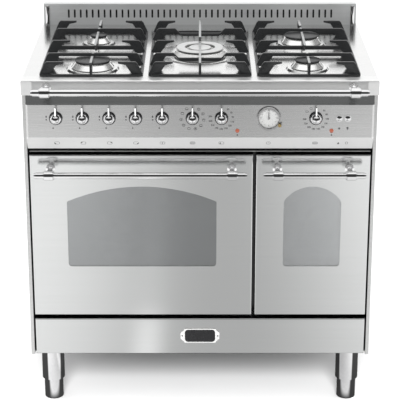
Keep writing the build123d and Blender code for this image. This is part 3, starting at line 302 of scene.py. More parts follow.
bump_from(upstand_shader, upstand_lines["Grain"], strength=0.008, depth=brush_depth)
dress(upstand_steel, "upstand")

# Control panel: one sheet with two folds, so that it has an upright face between two slopes.
# Satin stainless steel; the lower slope is rougher and painted a little lighter as a painted highlight, and
# the upper slope is painted near black as a painted reflection.
panel_low, panel_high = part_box("control_panel")
lower_slope_height = 0.037
upper_slope_height = 0.020
fold_fade = 0.0003
lower_fold_z = panel_low.z + lower_slope_height
upper_fold_z = panel_high.z - upper_slope_height
panel_steel, panel_tree, panel_shader = new_finish("folded_panel_steel")
panel_lines = brush_lines(panel_tree, along_x)
panel_height = along(panel_tree, "Z")
on_lower_slope = soft_step(panel_height, lower_fold_z + fold_fade, lower_fold_z - fold_fade)
on_upper_slope = soft_step(panel_height, upper_fold_z - fold_fade, upper_fold_z + fold_fade)
panel_tone = spread(panel_lines["Bands"], 0.69, 0.75)
# Painted highlight: the lower slope a little lighter.
panel_tone = raised(panel_tone, on_lower_slope, 0.02)
# Painted reflection: the upper slope near black.
panel_tone = raised(panel_tone, on_upper_slope, -0.69)
tint(panel_shader, panel_tone, (0.10, 0.103, 0.103), (1.0, 1.0, 0.995))
vary(panel_shader, "Metallic", on_lower_slope, 1.0, 0.62)
panel_roughness = spread(panel_lines["Grain"], 0.25, 0.31, noise_span)
feed(panel_shader, "Roughness", raised(panel_roughness, on_lower_slope, 0.2))
bump_from(panel_shader, panel_lines["Grain"], strength=0.003, depth=brush_depth)
dress(panel_steel, "control_panel")

# Front frame and door liners, the black parts round the oven mouths, and the hands of the clock.
# Steel with a fired coat of gloss black enamel, a little orange-peeled, with dust in the low shine.


def noise_on(tree, scale, detail, roughness=0.5):
    """Noise on the Object coordinates of the piece that wears the material."""
    node = place(tree, "ShaderNodeTexNoise", Scale=scale, Detail=detail, Roughness=roughness)
    return feed(node, "Vector", object_place(tree)).outputs["Fac"]


def enamel(name, dark, light, smooth, rough, speck_scale, speck_span):
    """Fired enamel: a base colour with specks, under a faintly uneven gloss."""
    material, tree, shader = new_finish(name, Coat_Weight=0.25, Coat_Roughness=0.08)
    specks = spread(noise_on(tree, speck_scale, detail=2.0), 0.0, 1.0, speck_span)
    tint(shader, specks, dark, light)
    vary(shader, "Roughness", handled(tree, 11.0), smooth, rough)
    peel = noise_on(tree, scale=260.0, detail=1.0)
    bump_from(shader, peel, strength=0.08, depth=0.0004)
    return material


black_enamel = enamel(
    "gloss_black_enamel", dark=(0.006, 0.006, 0.007), light=(0.018, 0.018, 0.019),
    smooth=0.16, rough=0.34, speck_scale=420.0, speck_span=(0.5, 0.8))
dress(black_enamel, "front_frame", "door_liner_left", "door_liner_right", "hour_hand", "minute_hand")

# Oven liners: the two boxes behind the frame, with pressed shelf rails and the fan's baffle.
# Steel with easy-clean enamel, dark blue-grey with fine pale specks.
oven_enamel = enamel(
    "speckled_oven_enamel", dark=(0.028, 0.031, 0.038), light=(0.30, 0.31, 0.33),
    smooth=0.3, rough=0.48, speck_scale=900.0, speck_span=(0.66, 0.72))
dress(oven_enamel, "oven_liners")

# Oven seals: woven and rubbered rope round each mouth, clipped to the frame.
# Dark grey silicone with the knit of the rope showing through.
knit_span = (0.0, 0.8)
seal, seal_tree, seal_shader = new_finish("seal_rubber")
knit_cells = place(seal_tree, "ShaderNodeTexVoronoi", Scale=520.0)
knit = feed(knit_cells, "Vector", object_place(seal_tree)).outputs["Distance"]
tint(seal_shader, knit, (0.02, 0.02, 0.021), (0.07, 0.07, 0.07))
vary(seal_shader, "Roughness", knit, 0.55, 0.8, knit_span)
bump_from(seal_shader, knit, strength=0.3, depth=0.0006)
dress(seal, "oven_seals")

# Shelf racks, grill elements and the fan: what stands in the heat of the ovens.
# Plated wire for the racks; sheathed rods and a pressed wheel with straw and blue heat tints.
dress(chrome, "oven_racks")
heated, heated_tree, heated_shader = new_finish("heat_tinted_steel", Metallic=1.0)
heat = noise_on(heated_tree, scale=16.0, detail=4.0)
tint(heated_shader, spread(heat, 0.0, 1.0, noise_span), (0.20, 0.19, 0.21), (0.42, 0.37, 0.29))
vary(heated_shader, "Roughness", heat, 0.3, 0.5, noise_span)
dress(heated, "grill_elements", "fan_blade")

# Gas rail, tap spindles and the clock's setting knob.
# Turned and drawn brass, a little dulled where it has been handled.
brass = marked_finish(
    "turned_brass", scale=30.0, dark=(0.44, 0.30, 0.12), light=(0.72, 0.55, 0.26),
    smooth=0.16, rough=0.34, Metallic=1.0)
dress(brass, "gas_rail", "clock_knob", *[f"tap_spindle_{n}" for n in range(1, 6)])

# Switch bodies behind the panel, and the terminal box on the back.
# Black moulded thermoset with a fine spark-eroded grain.
plastic, plastic_tree, plastic_shader = new_finish("moulded_plastic")
erosion = noise_on(plastic_tree, scale=1500.0, detail=2.0)
tint(plastic_shader, erosion, (0.016, 0.016, 0.018), (0.034, 0.034, 0.036))
vary(plastic_shader, "Roughness", erosion, 0.42, 0.6, noise_span)
bump_from(plastic_shader, erosion, strength=0.12, depth=0.0002)
dress(plastic, "oven_controls", "terminal_box")

# Burner bodies: cast cups with a polished conical skirt and a crown of flame slots.
# Aluminium alloy, turned bright on the skirt, with a band of painted shadow under the cap over the flame
# slots and a painted shadow line in the joint at the foot.
ring_half_width = 0.08
ring_drop = 0.008
slots_z = hob_z + 0.0198
slots_fade = 0.0006
foot_shadow_top_z = hob_z + 0.0060
foot_shadow_full_z = hob_z + 0.0054
alloy, alloy_tree, alloy_shader = new_finish("polished_alloy")
bloom = handled(alloy_tree, 24.0)


def on_ring_burner(tree):
    """A mask that is one on the ring burner in the middle of the hob."""
    return combine("LESS_THAN", from_middle(tree), ring_half_width)


level = raised(along(alloy_tree, "Z"), on_ring_burner(alloy_tree), ring_drop)
# Painted shadow: a dark band under the cap's edge, and a dark line at the skirt's foot.
cap_shadow_band = soft_step(level, slots_z - slots_fade, slots_z + slots_fade, 0.0, 0.85)
foot_shadow_line = soft_step(level, foot_shadow_top_z, foot_shadow_full_z, 0.0, 0.8)
alloy_tone = combine("SUBTRACT", spread(bloom, 0.92, 1.0), combine("MAXIMUM", cap_shadow_band, foot_shadow_line))
tint(alloy_shader, alloy_tone, (0.01, 0.01, 0.01), (0.92, 0.92, 0.91))
vary(alloy_shader, "Roughness", bloom, 0.06, 0.16)
vary(alloy_shader, "Metallic", on_ring_burner(alloy_tree), 0.8, 0.5)
dress(alloy, "burner_bodies")

# Burner caps: crowned discs that lie on the bodies, and the bright ring and disc of the middle burner.
# Satin grey enamelled steel on the four caps; the ring burner's pair is bare polished metal.
caps, caps_tree, caps_shader = new_finish("burner_cap_steel")
is_ring = on_ring_burner(caps_tree)
cap_bloom = noise_on(caps_tree, scale=700.0, detail=2.0)
tint(caps_shader, is_ring, (0.038, 0.039, 0.040), (0.70, 0.705, 0.70))
vary(caps_shader, "Metallic", is_ring, 0.5, 1.0)
vary(caps_shader, "Roughness", cap_bloom, 0.28, 0.42, noise_span)
bump_from(caps_shader, cap_bloom, strength=0.08, depth=0.0003)
dress(caps, "burner_caps")

# Pan supports: three one-piece castings that lie on the hob, each with ribs, fingers and a spine.
# Cast iron under matt black enamel; the mould leaves every edge a little round, and the spines' tops are
# polished by pans and painted lighter as a painted highlight.


def middle(name, axis):
    """The middle of a CAD node's box on one axis."""
    low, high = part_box(name)
    return (getattr(low, axis) + getattr(high, axis)) / 2


def off_line(source, line):
    """How far a coordinate lies to either side of a line."""
    return combine("ABSOLUTE", combine("SUBTRACT", source, line))


burner_x = middle("grate_right", "x")
grate_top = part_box("grate_right")[1].z
spine_half = 0.0031
wear_depth = 0.0013
full_wear_depth = 0.0004
iron, iron_tree, iron_shader = new_finish("enamelled_cast_iron", Specular_IOR_Level=0.6)
sand = noise_on(iron_tree, scale=620.0, detail=4.0, roughness=0.6)
from_centre_spine = from_middle(iron_tree)
from_side_spine = off_line(from_centre_spine, burner_x)
on_spine = combine("LESS_THAN", combine("MINIMUM", from_centre_spine, from_side_spine), spine_half)
on_top = soft_step(along(iron_tree, "Z"), grate_top - wear_depth, grate_top - full_wear_depth)
# Spine tops: worn bare by pans, and painted lighter as a painted highlight.
worn_and_highlighted = combine("MULTIPLY", on_spine, on_top)
iron_tone = raised(spread(sand, 0.0, 0.03, noise_span), worn_and_highlighted, 0.9)
tint(iron_shader, iron_tone, (0.007, 0.0075, 0.008), (0.46, 0.47, 0.47))
vary(iron_shader, "Metallic", worn_and_highlighted, 0.0, 0.8)
vary(iron_shader, "Roughness", sand, 0.24, 0.42, noise_span)
bump_from(iron_shader, sand, strength=0.1, depth=0.0004)
cast_edge = 0.0014
weld_reach = 0.00002
flat_angle = math.radians(2)


def only(piece):
    """Select this piece and nothing else, and make it the active one."""
    bpy.ops.object.select_all(action="DESELECT")
    piece.select_set(True)
    bpy.context.view_layer.objects.active = piece
    return piece


def copy_of(piece, name, place_at=(0, 0, 0)):
    """A copy with its own mesh, moved to a place."""
    twin = bpy.data.objects.new(name, piece.data.copy())
    bpy.context.scene.collection.objects.link(twin)
    twin.location = place_at
    return twin


def pick(piece, kind, chosen=None):
    """Edit a piece with the chosen corners, edges or faces selected, or else with all of them."""
    only(piece)
    bpy.ops.object.mode_set(mode="EDIT")
    bpy.ops.mesh.select_mode(type=kind)
    bpy.ops.mesh.select_all(action="DESELECT" if chosen else "SELECT")
    if chosen:
        bpy.ops.object.mode_set(mode="OBJECT")
        mesh = piece.data
        for part in {"VERT": mesh.vertices, "EDGE": mesh.edges, "FACE": mesh.polygons}[kind]:
            part.select = chosen(part)
        bpy.ops.object.mode_set(mode="EDIT")


def apply_modifier(piece, kind, **settings):
    """Put a modifier on a piece and apply it at once."""
    modifier = piece.modifiers.new(kind.lower(), kind)
    for name, value in settings.items():
        setattr(modifier, name, value)
    only(piece)
    bpy.ops.object.modifier_apply(modifier=modifier.name)


def soften(piece, width, segments, edge_angle=30, shade_angle=0):
    """Round the edges sharper than one angle, and shade smooth the ones blunter than another."""
    apply_modifier(piece, "BEVEL", width=width, segments=segments, limit_method="ANGLE",
                   angle_limit=math.radians(edge_angle))
    if shade_angle:
        bpy.ops.object.shade_smooth_by_angle(angle=math.radians(shade_angle))


def settle(piece, body, material):
    """Put a finished piece's place into its mesh, and give it its finish and the body that it moves with."""
    only(piece)
    bpy.ops.object.transform_apply()
    piece.data.materials.clear()
    piece.data.materials.append(material)
    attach(piece, body)


for side in ("left", "centre", "right"):
    node_name = f"grate_{side}"
    casting = copy_of(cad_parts[node_name], f"pan_support_{side}")
    pick(casting, "VERT")
    bpy.ops.mesh.remove_doubles(threshold=weld_reach)
    bpy.ops.mesh.dissolve_limited(angle_limit=flat_angle)
    bpy.ops.object.mode_set(mode="OBJECT")
    soften(casting, cast_edge, 2, edge_angle=35, shade_angle=40)
    settle(casting, node_name, iron)
    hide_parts(node_name)

# Knobs and buttons: zinc castings, polished and chromium plated.
# Each is pressed on its shaft and stands in a bezel of its own.
knob_names = [f"gas_knob_{n}" for n in range(1, 6)]
knob_names += ["function_knob", "thermostat_knob_left", "thermostat_knob_right"]
dress(chrome, "ignition_button", "lamp_button", *knob_names)

# Bezels: a ring on the panel round each knob, and a flat one round each push button.
# Turned brass; the button rings are plated in bright chromium, and the knob rings are painted near black as
# painted shade in the gap round each knob.
button_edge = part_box("ignition_button")[0].x
round_from = button_edge - 0.006
round_full = button_edge - 0.004
bezel, bezel_tree, bezel_shader = new_finish("bezel_plating", Metallic=1.0)
round_button = soft_step(along(bezel_tree, "X"), round_from, round_full)
# Painted shade: the knob rings near black, the button rings bright.
tint(bezel_shader, round_button, (0.075, 0.076, 0.08), (0.86, 0.86, 0.86))
vary(bezel_shader, "Roughness", handled(bezel_tree, 40.0), 0.12, 0.22)
dress(bezel, "knob_bezels")

# Towel rail and door handles: round bars pushed through collars on turned posts.
# Polished chromium plate on the bars and collars; the posts behind them are satin plated.
collar_depth = 0.025
collar_fade = 0.002


def bar_plating(name, node):
    """Polished plate on the bar and its collars, and satin plate on the posts behind."""
    material, tree, shader = new_finish(name)
    plate_marks = handled(tree, 14.0)
    collar_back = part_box(node)[0].y + collar_depth
    on_post = soft_step(along(tree, "Y"), collar_back, collar_back + collar_fade)
    tint(shader, plate_marks, (0.84, 0.84, 0.845), (0.90, 0.90, 0.90))
    vary(shader, "Metallic", on_post, 1.0, 0.8)
    feed(shader, "Roughness", raised(spread(plate_marks, 0.035, 0.085), on_post, 0.16))
    dress(material, node)


bar_plating("rail_plating", "towel_rail")
bar_plating("left_handle_plating", "door_handle_left")
bar_plating("right_handle_plating", "door_handle_right")

# Vent bead: a rolled strip under the lip that parts the vent gap above the doors.
# Thin satin stainless steel, hung from the black lip by its own folded-down edge.


def upright_block(name, width, depth, height, centre):
    """A block of that size, with its place in its mesh."""
    bpy.ops.mesh.primitive_cube_add(size=1)
    piece = bpy.context.object
    piece.name = name
    piece.scale = (width, depth, height)
    piece.location = centre
    bpy.ops.object.transform_apply()
    return piece


door_low, door_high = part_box("door_panel_left")
bead_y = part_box("front_frame")[0].y + 0.0085
bead_z = door_high.z + 0.0062
bead_width = -2 * door_low.x
bead_depth = 0.0030
bead_height = 0.0026
bead_edge = 0.0008
vent_bead = upright_block("vent_bead", bead_width, bead_depth, bead_height, (0, bead_y, bead_z))
soften(vent_bead, bead_edge, 3, shade_angle=40)
settle(vent_bead, "cooker", side_steel)

# Collar rings: a narrow turned ring on the bar at each side of every collar, so that the bar can't slide.
# Brass, polished and chromium plated, pushed on and pinned.


def turned(name, points, radius, length, centre=(0, 0, 0), turn=(0, 0, 0)):
    """A cylinder with its place in its mesh."""
    bpy.ops.mesh.primitive_cylinder_add(
        vertices=points, radius=radius, depth=length, location=centre, rotation=turn)
    piece = bpy.context.object
    piece.name = name
    bpy.ops.object.transform_apply()
    return piece


def together(pieces, name):
    """Join pieces into one."""
    bpy.ops.object.select_all(action="DESELECT")
    for piece in pieces:
        piece.select_set(True)
    bpy.context.view_layer.objects.active = pieces[0]
    bpy.ops.object.join()
    joined = bpy.context.object
    joined.name = name
    return joined


ring_width = 0.0030
ring_proud = 0.0021
ring_edge = 0.0009
collar_half = 0.0110
collar_radius = 0.0125
for node_name, body, bar_radius, post_inset in (
    ("towel_rail", "cooker", 0.0085, 0.034),
    ("door_handle_left", "door_left", 0.0080, 0.037),
    ("door_handle_right", "door_right", 0.0080, 0.037),
):
    low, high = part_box(node_name)
    bar_y = low.y + collar_radius
    bar_z = middle(node_name, "z")
    ring = turned("collar_ring", 32, bar_radius + ring_proud, ring_width, turn=(0, math.pi / 2, 0))
    soften(ring, ring_edge, 3, edge_angle=60, shade_angle=40)
    from_post = collar_half + ring_width / 2
    rings = [
        copy_of(ring, "collar_ring", (post_x + side * from_post, bar_y, bar_z))
        for post_x in (low.x + post_inset, high.x - post_inset) for side in (-1, 1)
    ]
    bpy.data.objects.remove(ring)
    settle(together(rings, f"collar_rings_{node_name}"), body, chrome)

# Knob pointers: a white line on the face of each pointer, so that the setting reads from across the room.
# A strip of white enamel with rounded ends, fired into the plated pointer.
white = marked_finish(
    "white_enamel", scale=60.0, dark=(0.84, 0.84, 0.82), light=(0.92, 0.92, 0.91),
    smooth=0.2, rough=0.4, Coat_Weight=0.3)
pointer_line_width = 0.0019
pointer_line_length = 0.0200
pointer_line_proud = 0.0003
pointer_tip_inset = 0.0006
pointer_front = 0.0165
bpy.ops.mesh.primitive_plane_add(size=1, rotation=(math.pi / 2, 0, 0))
pointer_line = bpy.context.object
pointer_line.name = "pointer_line"
pointer_line.scale = (pointer_line_width, pointer_line_length, 1)
bpy.ops.object.transform_apply()
apply_modifier(pointer_line, "BEVEL", width=pointer_line_width / 2.1, segments=5, affect="VERTICES")
apply_modifier(pointer_line, "SOLIDIFY", thickness=pointer_line_proud, offset=1)
soften(pointer_line, pointer_line_proud / 3, 1)
knob_centres = {name: middle(name, "x") for name in knob_names}
face_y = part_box("knob_bezels")[1].y
for name, knob_x in knob_centres.items():
    line_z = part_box(name)[1].z - pointer_tip_inset - pointer_line_length / 2
    line = copy_of(pointer_line, f"pointer_{name}", (knob_x, face_y - pointer_front, line_z))
    settle(line, name, white)
bpy.data.objects.remove(pointer_line)

# Clock: a round timer with a pressed rim, a white dial, twelve hour strokes and a clear glass.
# Rim of satin steel, dial of white printed sheet; the strokes are dark ink.
clock_x = middle("clock_glass", "x")
clock_z = middle("clock_glass", "z")
dial_radius = 0.0249
dial_y = face_y + 0.003
dial, dial_tree, dial_shader = new_finish("clock_rim_and_dial")
to_centre = place(dial_tree, "ShaderNodeMapping", Location=(-clock_x, 0, -clock_z), Scale=(1, 0, 1))
feed(to_centre, "Vector", object_place(dial_tree))
from_centre = dial_tree.nodes.new("ShaderNodeVectorMath")
from_centre.operation = "LENGTH"
feed(from_centre, 0, to_centre.outputs["Vector"])
on_rim = combine("GREATER_THAN", from_centre.outputs["Value"], dial_radius)
tint(dial_shader, on_rim, (0.40, 0.40, 0.395), (0.62, 0.62, 0.62))
feed(dial_shader, "Metallic", on_rim)
vary(dial_shader, "Roughness", handled(dial_tree, 80.0), 0.22, 0.36)
dress(dial, "clock_case")

clear_glass, glass_tree, glass_shader = new_finish(
    "clear_glass", Alpha=0.05, IOR=1.45, Base_Color=(0.4, 0.41, 0.41, 1))
vary(glass_shader, "Roughness", handled(glass_tree, 50.0), 0.0, 0.04)
dress(clear_glass, "clock_glass")

ink = marked_finish(
    "printed_ink", scale=200.0, dark=(0.025, 0.025, 0.027), light=(0.07, 0.07, 0.07),
    smooth=0.45, rough=0.65)
ink_film = 0.00012


def stroke(name, width, height):
    """A printed bar that lies flat, with its corners rounded."""
    bpy.ops.mesh.primitive_plane_add(size=1)
    piece = bpy.context.object
    piece.name = name
    piece.scale = (width, height, 1)
    bpy.ops.object.transform_apply()
    apply_modifier(piece, "BEVEL", width=min(width, height) / 3, segments=2, affect="VERTICES")
    return piece


def shifted(piece, x, y, turn=0.0):
    """Move a piece that lies flat within the level, and turn it there."""
    only(piece)
    piece.location = (x, y, 0)
    piece.rotation_euler = (0, 0, turn)
    bpy.ops.object.transform_apply()
    return piece


hour_reach = 0.0200
quarter_stroke = (0.0017, 0.0046)
hour_stroke = (0.0012, 0.0034)
hour_strokes = []
for hour in range(12):
    bearing = math.radians(30 * hour)
    tick = stroke(f"hour_{hour}", *(hour_stroke if hour % 3 else quarter_stroke))
    hour_strokes.append(
        shifted(tick, hour_reach * math.sin(bearing), hour_reach * math.cos(bearing), -bearing))
dial_print = together(hour_strokes, "dial_print")
apply_modifier(dial_print, "SOLIDIFY", thickness=ink_film, offset=1)
dial_print.rotation_euler = (math.pi / 2, 0, 0)
dial_print.location = (clock_x, dial_y, clock_z)
settle(dial_print, "cooker", ink)

# Pilot lamps: two amber lenses that tell when an oven heats.
# Moulded clear plastic, dyed orange a little unevenly, with a faint glow.
amber, amber_tree, amber_shader = new_finish(
    "amber_lens", Coat_Weight=0.6, Coat_Roughness=0.05, Emission_Strength=0.05)
amber_depth = noise_on(amber_tree, scale=350.0, detail=1.0)
tint(amber_shader, amber_depth, (0.19, 0.052, 0.032), (0.27, 0.074, 0.045))
tint(amber_shader, amber_depth, (0.5, 0.08, 0.02), (0.8, 0.18, 0.05), "Emission Color")
vary(amber_shader, "Roughness", amber_depth, 0.15, 0.3, noise_span)
dress(amber, "pilot_lamps")

# Printing on the control panel: flames beside the gas knobs, degrees round the thermostats, function signs,
# and on the lower slope a small plan of the hob for each burner.
# Dark screen-printed ink on the steel, a tenth of a millimetre thick.
slope_run = 0.026
slope_tilt = math.atan2(slope_run, lower_fold_z - panel_low.z)
knob_base_radius = 0.0135
knob_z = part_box("thermostat_knob_right")[0].z + knob_base_radius
marks = []


def outline(piece, line):
    """Leave only a line along the edge of a flat mark."""
    pick(piece, "FACE")
    bpy.ops.mesh.inset(thickness=line, depth=0)
    bpy.ops.mesh.delete(type="FACE")
    bpy.ops.object.mode_set(mode="OBJECT")
    return piece


def hollow(name, width, height, line):
    """A printed outline of a rounded plate."""
    return outline(stroke(name, width, height), line)


def blot(name, radius, stretch=0.0, points=14):
    """A printed round dot; stretch pulls its top up to a flame's tip."""
    bpy.ops.mesh.primitive_circle_add(vertices=points, radius=radius, fill_type="NGON")
    piece = bpy.context.object
    piece.name = name
    if stretch > 0:
        top = max(piece.data.vertices, key=lambda corner: corner.co.y).index
        pick(piece, "VERT", lambda corner: corner.index == top)
        bpy.ops.transform.translate(value=(0, stretch, 0))
        bpy.ops.object.mode_set(mode="OBJECT")
    return piece


def lay(piece, tilt, place_at):
    """Stand a flat mark up with a tilt, at a place on the panel."""
    only(piece)
    piece.rotation_euler = (math.pi / 2 + tilt, 0, 0)
    piece.location = place_at
    bpy.ops.object.transform_apply()
    marks.append(piece)


def lay_on_face(piece, x, z):
    """Stand a flat mark on the upright face of the panel."""
    lay(piece, 0.0, (x, face_y, z))


def lay_on_slope(piece, x, share=0.5):
    """Lay a flat mark on the lower slope, at a share of the way down."""
    drop = panel_low.z - lower_fold_z
    lay(piece, slope_tilt, (x, face_y + slope_run * share, lower_fold_z + drop * share))


sign_width = 0.0135
sign_height = 0.0105
fine_line = 0.0008
sign_line = 0.0009
bold_line = 0.0010
flame_side = 0.0240
flame_z = knob_z + 0.0035
spark_z = knob_z - 0.0040
low_flame_side = 0.0075
low_flame_z = knob_z - 0.0260
spot_x = 0.0040
spot_y = 0.0022
plan_spots = [(-spot_x, -spot_y), (-spot_x, spot_y), (spot_x, spot_y), (spot_x, -spot_y), (0.0, 0.0)]
for knob, burner_spot in zip(knob_names, plan_spots):
    x = knob_centres[knob]
    lay_on_face(blot("full_flame", 0.0021, 0.0026), x - flame_side, flame_z)
    lay_on_face(blot("spark", 0.0020, points=6), x - flame_side, spark_z)
    lay_on_face(blot("low_flame", 0.0018, 0.0022), x - low_flame_side, low_flame_z)
    plan = hollow("hob_plan", sign_width, sign_height, fine_line)
    lay_on_slope(together([plan, shifted(blot("burner_spot", 0.0019), *burner_spot)], "hob_plan"), x)

ring_of_marks = 0.0285
degree_size = 0.0060
degree_boldness = 0.00022
degree_step = 24.5


def lay_round(piece, knob, bearing_deg):
    """Stand a mark on the face beside a knob, at a bearing from upright."""
    bearing = math.radians(bearing_deg)
    lay_on_face(piece, knob_centres[knob] + ring_of_marks * math.sin(bearing),
                knob_z + ring_of_marks * math.cos(bearing))


def degrees(knob, first_bearing, numbers):
    """Numbers of a thermostat round its knob."""
    for index, number in enumerate(numbers):
        bpy.ops.object.text_add()
        text = bpy.context.object.data
        text.body = str(number)
        text.size = degree_size
        text.offset = degree_boldness
        text.align_x = "CENTER"
        text.align_y = "CENTER"
        text.resolution_u = 2
        only(bpy.context.object)
        bpy.ops.object.convert(target="MESH")
        lay_round(bpy.context.object, knob, first_bearing + degree_step * index)


degrees("thermostat_knob_left", 35, range(50, 251, 20))
degrees("thermostat_knob_right", 45, range(60, 241, 20))

function_step = 33
heat_bar = (0.0052, 0.0009)
heat_bar_y = 0.0017
for index in range(10):
    sign = [hollow("function_sign", 0.0080, 0.0066, bold_line)]
    if index % 2 == 0:
        sign.append(shifted(stroke("heat_above", *heat_bar), 0, heat_bar_y))
    if index % 3 == 0:
        sign.append(shifted(stroke("heat_below", *heat_bar), 0, -heat_bar_y))
    if index % 3 == 1:
        sign.append(blot("fan_sign", 0.0014, points=8))
    lay_round(together(sign, "function_sign"), "function_knob", function_step * (index + 1))
for bearing_deg in (307, 334):
    lay_round(hollow("grill_sign", 0.0072, 0.0056, fine_line), "thermostat_knob_right", bearing_deg)

for knob in ("function_knob", "thermostat_knob_right"):
    oven_sign = [hollow("oven_sign", sign_width, sign_height, sign_line)]
    oven_sign += [shifted(stroke("oven_bar", 0.0095, 0.0011), 0, y) for y in (-0.0020, 0.0020)]
    lay_on_slope(together(oven_sign, "oven_sign"), knob_centres[knob])
bulb_x = -0.0025
heat_sign = [
    hollow("heat_sign", sign_width, sign_height, fine_line),
    shifted(stroke("heat_bar", 0.0010, 0.0064), bulb_x, 0),
    shifted(blot("heat_bulb", 0.0017), bulb_x, -0.0022),
]
lay_on_slope(together(heat_sign, "heat_sign"), knob_centres["thermostat_knob_left"])
clock_sign = [
    outline(blot("clock_sign", 0.0056, points=24), fine_line),
    shifted(stroke("clock_sign_hand", 0.0007, 0.0032), 0, 0.0014),
]
lay_on_slope(together(clock_sign, "clock_sign"), clock_x)

ignition_x = middle("ignition_button", "x")
lamp_button_x = middle("lamp_button", "x")
spark_sign_z = knob_z - 0.0265
bulb_sign_z = knob_z - 0.0255
spark_rays = [shifted(stroke("spark_ray", 0.0009, 0.0072), 0, 0, math.radians(45 * i)) for i in range(4)]
lay_on_face(together(spark_rays, "spark_sign"), ignition_x, spark_sign_z)
bulb = [blot("bulb", 0.0028), shifted(stroke("bulb_foot", 0.0026, 0.0016), 0, -0.0042)]
lay_on_face(together(bulb, "bulb_sign"), lamp_button_x, bulb_sign_z)
lay_on_slope(blot("spark_foot_sign", 0.0026, 0.0046), ignition_x, 0.55)
lay_on_slope(hollow("lamp_foot_sign", 0.0066, 0.0092, sign_line), lamp_button_x)
lamp_low, lamp_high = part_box("pilot_lamps")
lamp_radius = 0.00525
lamp_sign_z = middle("pilot_lamps", "z") - 0.0115
for lamp_x in (lamp_low.x + lamp_radius, lamp_high.x - lamp_radius):
    lay_on_face(blot("lamp_sign", 0.0020, 0.0020), lamp_x, lamp_sign_z)
panel_print = together(marks, "panel_print")
apply_modifier(panel_print, "SOLIDIFY", thickness=ink_film, offset=1)
settle(panel_print, "cooker", ink)

# Oven windows: two panes in each door, the outer one with an arch left clear by the steel.
# Heat-reflecting glass with a grey mirror coat, so that it shows the room more than the oven; the left pane
# is painted darker than the right one as a painted reflection.


def coated_glass(name, dark, light):
    """Mirror-coated oven glass with a little haze."""
    return marked_finish(
        name, 6.0, dark, light, smooth=0.06, rough=0.12, Metallic=0.5, Transmission_Weight=1.0, IOR=1.5)


# Painted reflection: one glass in two copies, darker on the left and lighter on the right.
dress(coated_glass("left_window_glass", (0.58, 0.595, 0.60), (0.62, 0.635, 0.64)), "door_glass_left")
dress(coated_glass("right_window_glass", (0.74, 0.755, 0.76), (0.78, 0.795, 0.80)), "door_glass_right")

# Badge on the drawer: a cast frame with an ear at each end and a plain plate let into it.
# Pale satin plating round black enamel, held by a rivet through each ear.
nickel = marked_finish(
    "satin_nickel", scale=45.0, dark=(0.62, 0.62, 0.615), light=(0.69, 0.69, 0.68),
    smooth=0.24, rough=0.38, Metallic=0.35)
drawer_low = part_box("drawer_front")[0]
badge_width = 0.085
badge_height = 0.040
badge_depth = 0.0030
badge_corner = 0.003
badge_ear_width = 0.103
badge_ear_height = 0.030
badge_ear_slope = 0.0070
badge_border = 0.0024
badge_edge = 0.0005
badge_y = drawer_low.y - badge_depth / 2
badge_z = drawer_low.z + 0.0525
badge_front = badge_y - badge_depth / 2
recess_width = badge_width - 2 * badge_border
recess_height = badge_height - 2 * badge_border
recess_corner = 0.0085
plate_gap = 0.0001
plate_depth = 0.0008
plate_edge = 0.0002
rivet_radius = 0.0020
rivet_flatness = 0.4
same_place = 1e-6


def round_corners(piece, radius, segments):
    """Round the edges that run front to back."""
    def runs_back(edge):
        a, b = (piece.data.vertices[i].co for i in edge.vertices)
        return abs(a.x - b.x) < same_place and abs(a.z - b.z) < same_place

    pick(piece, "EDGE", runs_back)
    bpy.ops.mesh.bevel(offset=radius, segments=segments)
    bpy.ops.object.mode_set(mode="OBJECT")


def carve(piece, tool, operation="DIFFERENCE"):
    """Cut a tool out of a piece or join it to the piece, and throw the tool away."""
    apply_modifier(piece, "BOOLEAN", object=tool, operation=operation, solver="EXACT")
    bpy.data.objects.remove(tool)


badge = upright_block("badge_frame", badge_width, badge_depth, badge_height, (0, badge_y, badge_z))
round_corners(badge, badge_corner, 3)
ears = upright_block("badge_ears", badge_ear_width, badge_depth, badge_ear_height, (0, badge_y, badge_z))
round_corners(ears, badge_ear_slope, 1)
carve(badge, ears, "UNION")
recess = upright_block("badge_recess", recess_width, badge_depth, recess_height, (0, badge_front, badge_z))
round_corners(recess, recess_corner, 6)
carve(badge, recess)
soften(badge, badge_edge, 2, edge_angle=50, shade_angle=35)
settle(badge, "drawer", nickel)
plate = upright_block("badge_plate", recess_width - plate_gap, plate_depth, recess_height - plate_gap,
                      (0, badge_y - plate_depth / 2, badge_z))
round_corners(plate, recess_corner, 6)
soften(plate, plate_edge, 2, edge_angle=50)
settle(plate, "drawer", black_enamel)
rivets = []
for side in (-1, 1):
    rivet_x = side * (badge_width + badge_ear_width) / 4
    bpy.ops.mesh.primitive_uv_sphere_add(
        segments=16, ring_count=8, radius=rivet_radius, location=(rivet_x, badge_front, badge_z))
    rivet = bpy.context.object
    rivet.name = "badge_rivet"
    rivet.scale = (1.0, rivet_flatness, 1.0)
    bpy.ops.object.transform_apply()
    bpy.ops.object.shade_smooth()
    rivets.append(rivet)
settle(together(rivets, "badge_rivets"), "drawer", black_enamel)

# Upstand ends: a half-round trim where the folded sheet turns the corner at each side.
# Bright rolled stainless steel, spot welded to the sheet, closed with a dome on top.
trim_radius = 0.0065
trim_height = 0.0560
trim_inset = 0.0110
trim_dome = 0.003
trims = []
for side in (-1, 1):
    trim_centre = (side * (upstand_high.x - trim_inset), upstand_low.y, upstand_low.z + trim_height / 2)
    trim = turned("upstand_end", 24, trim_radius, trim_height, trim_centre)
    soften(trim, trim_dome, 4, edge_angle=60, shade_angle=40)
    trims.append(trim)
settle(together(trims, "upstand_ends"), "cooker", chrome)

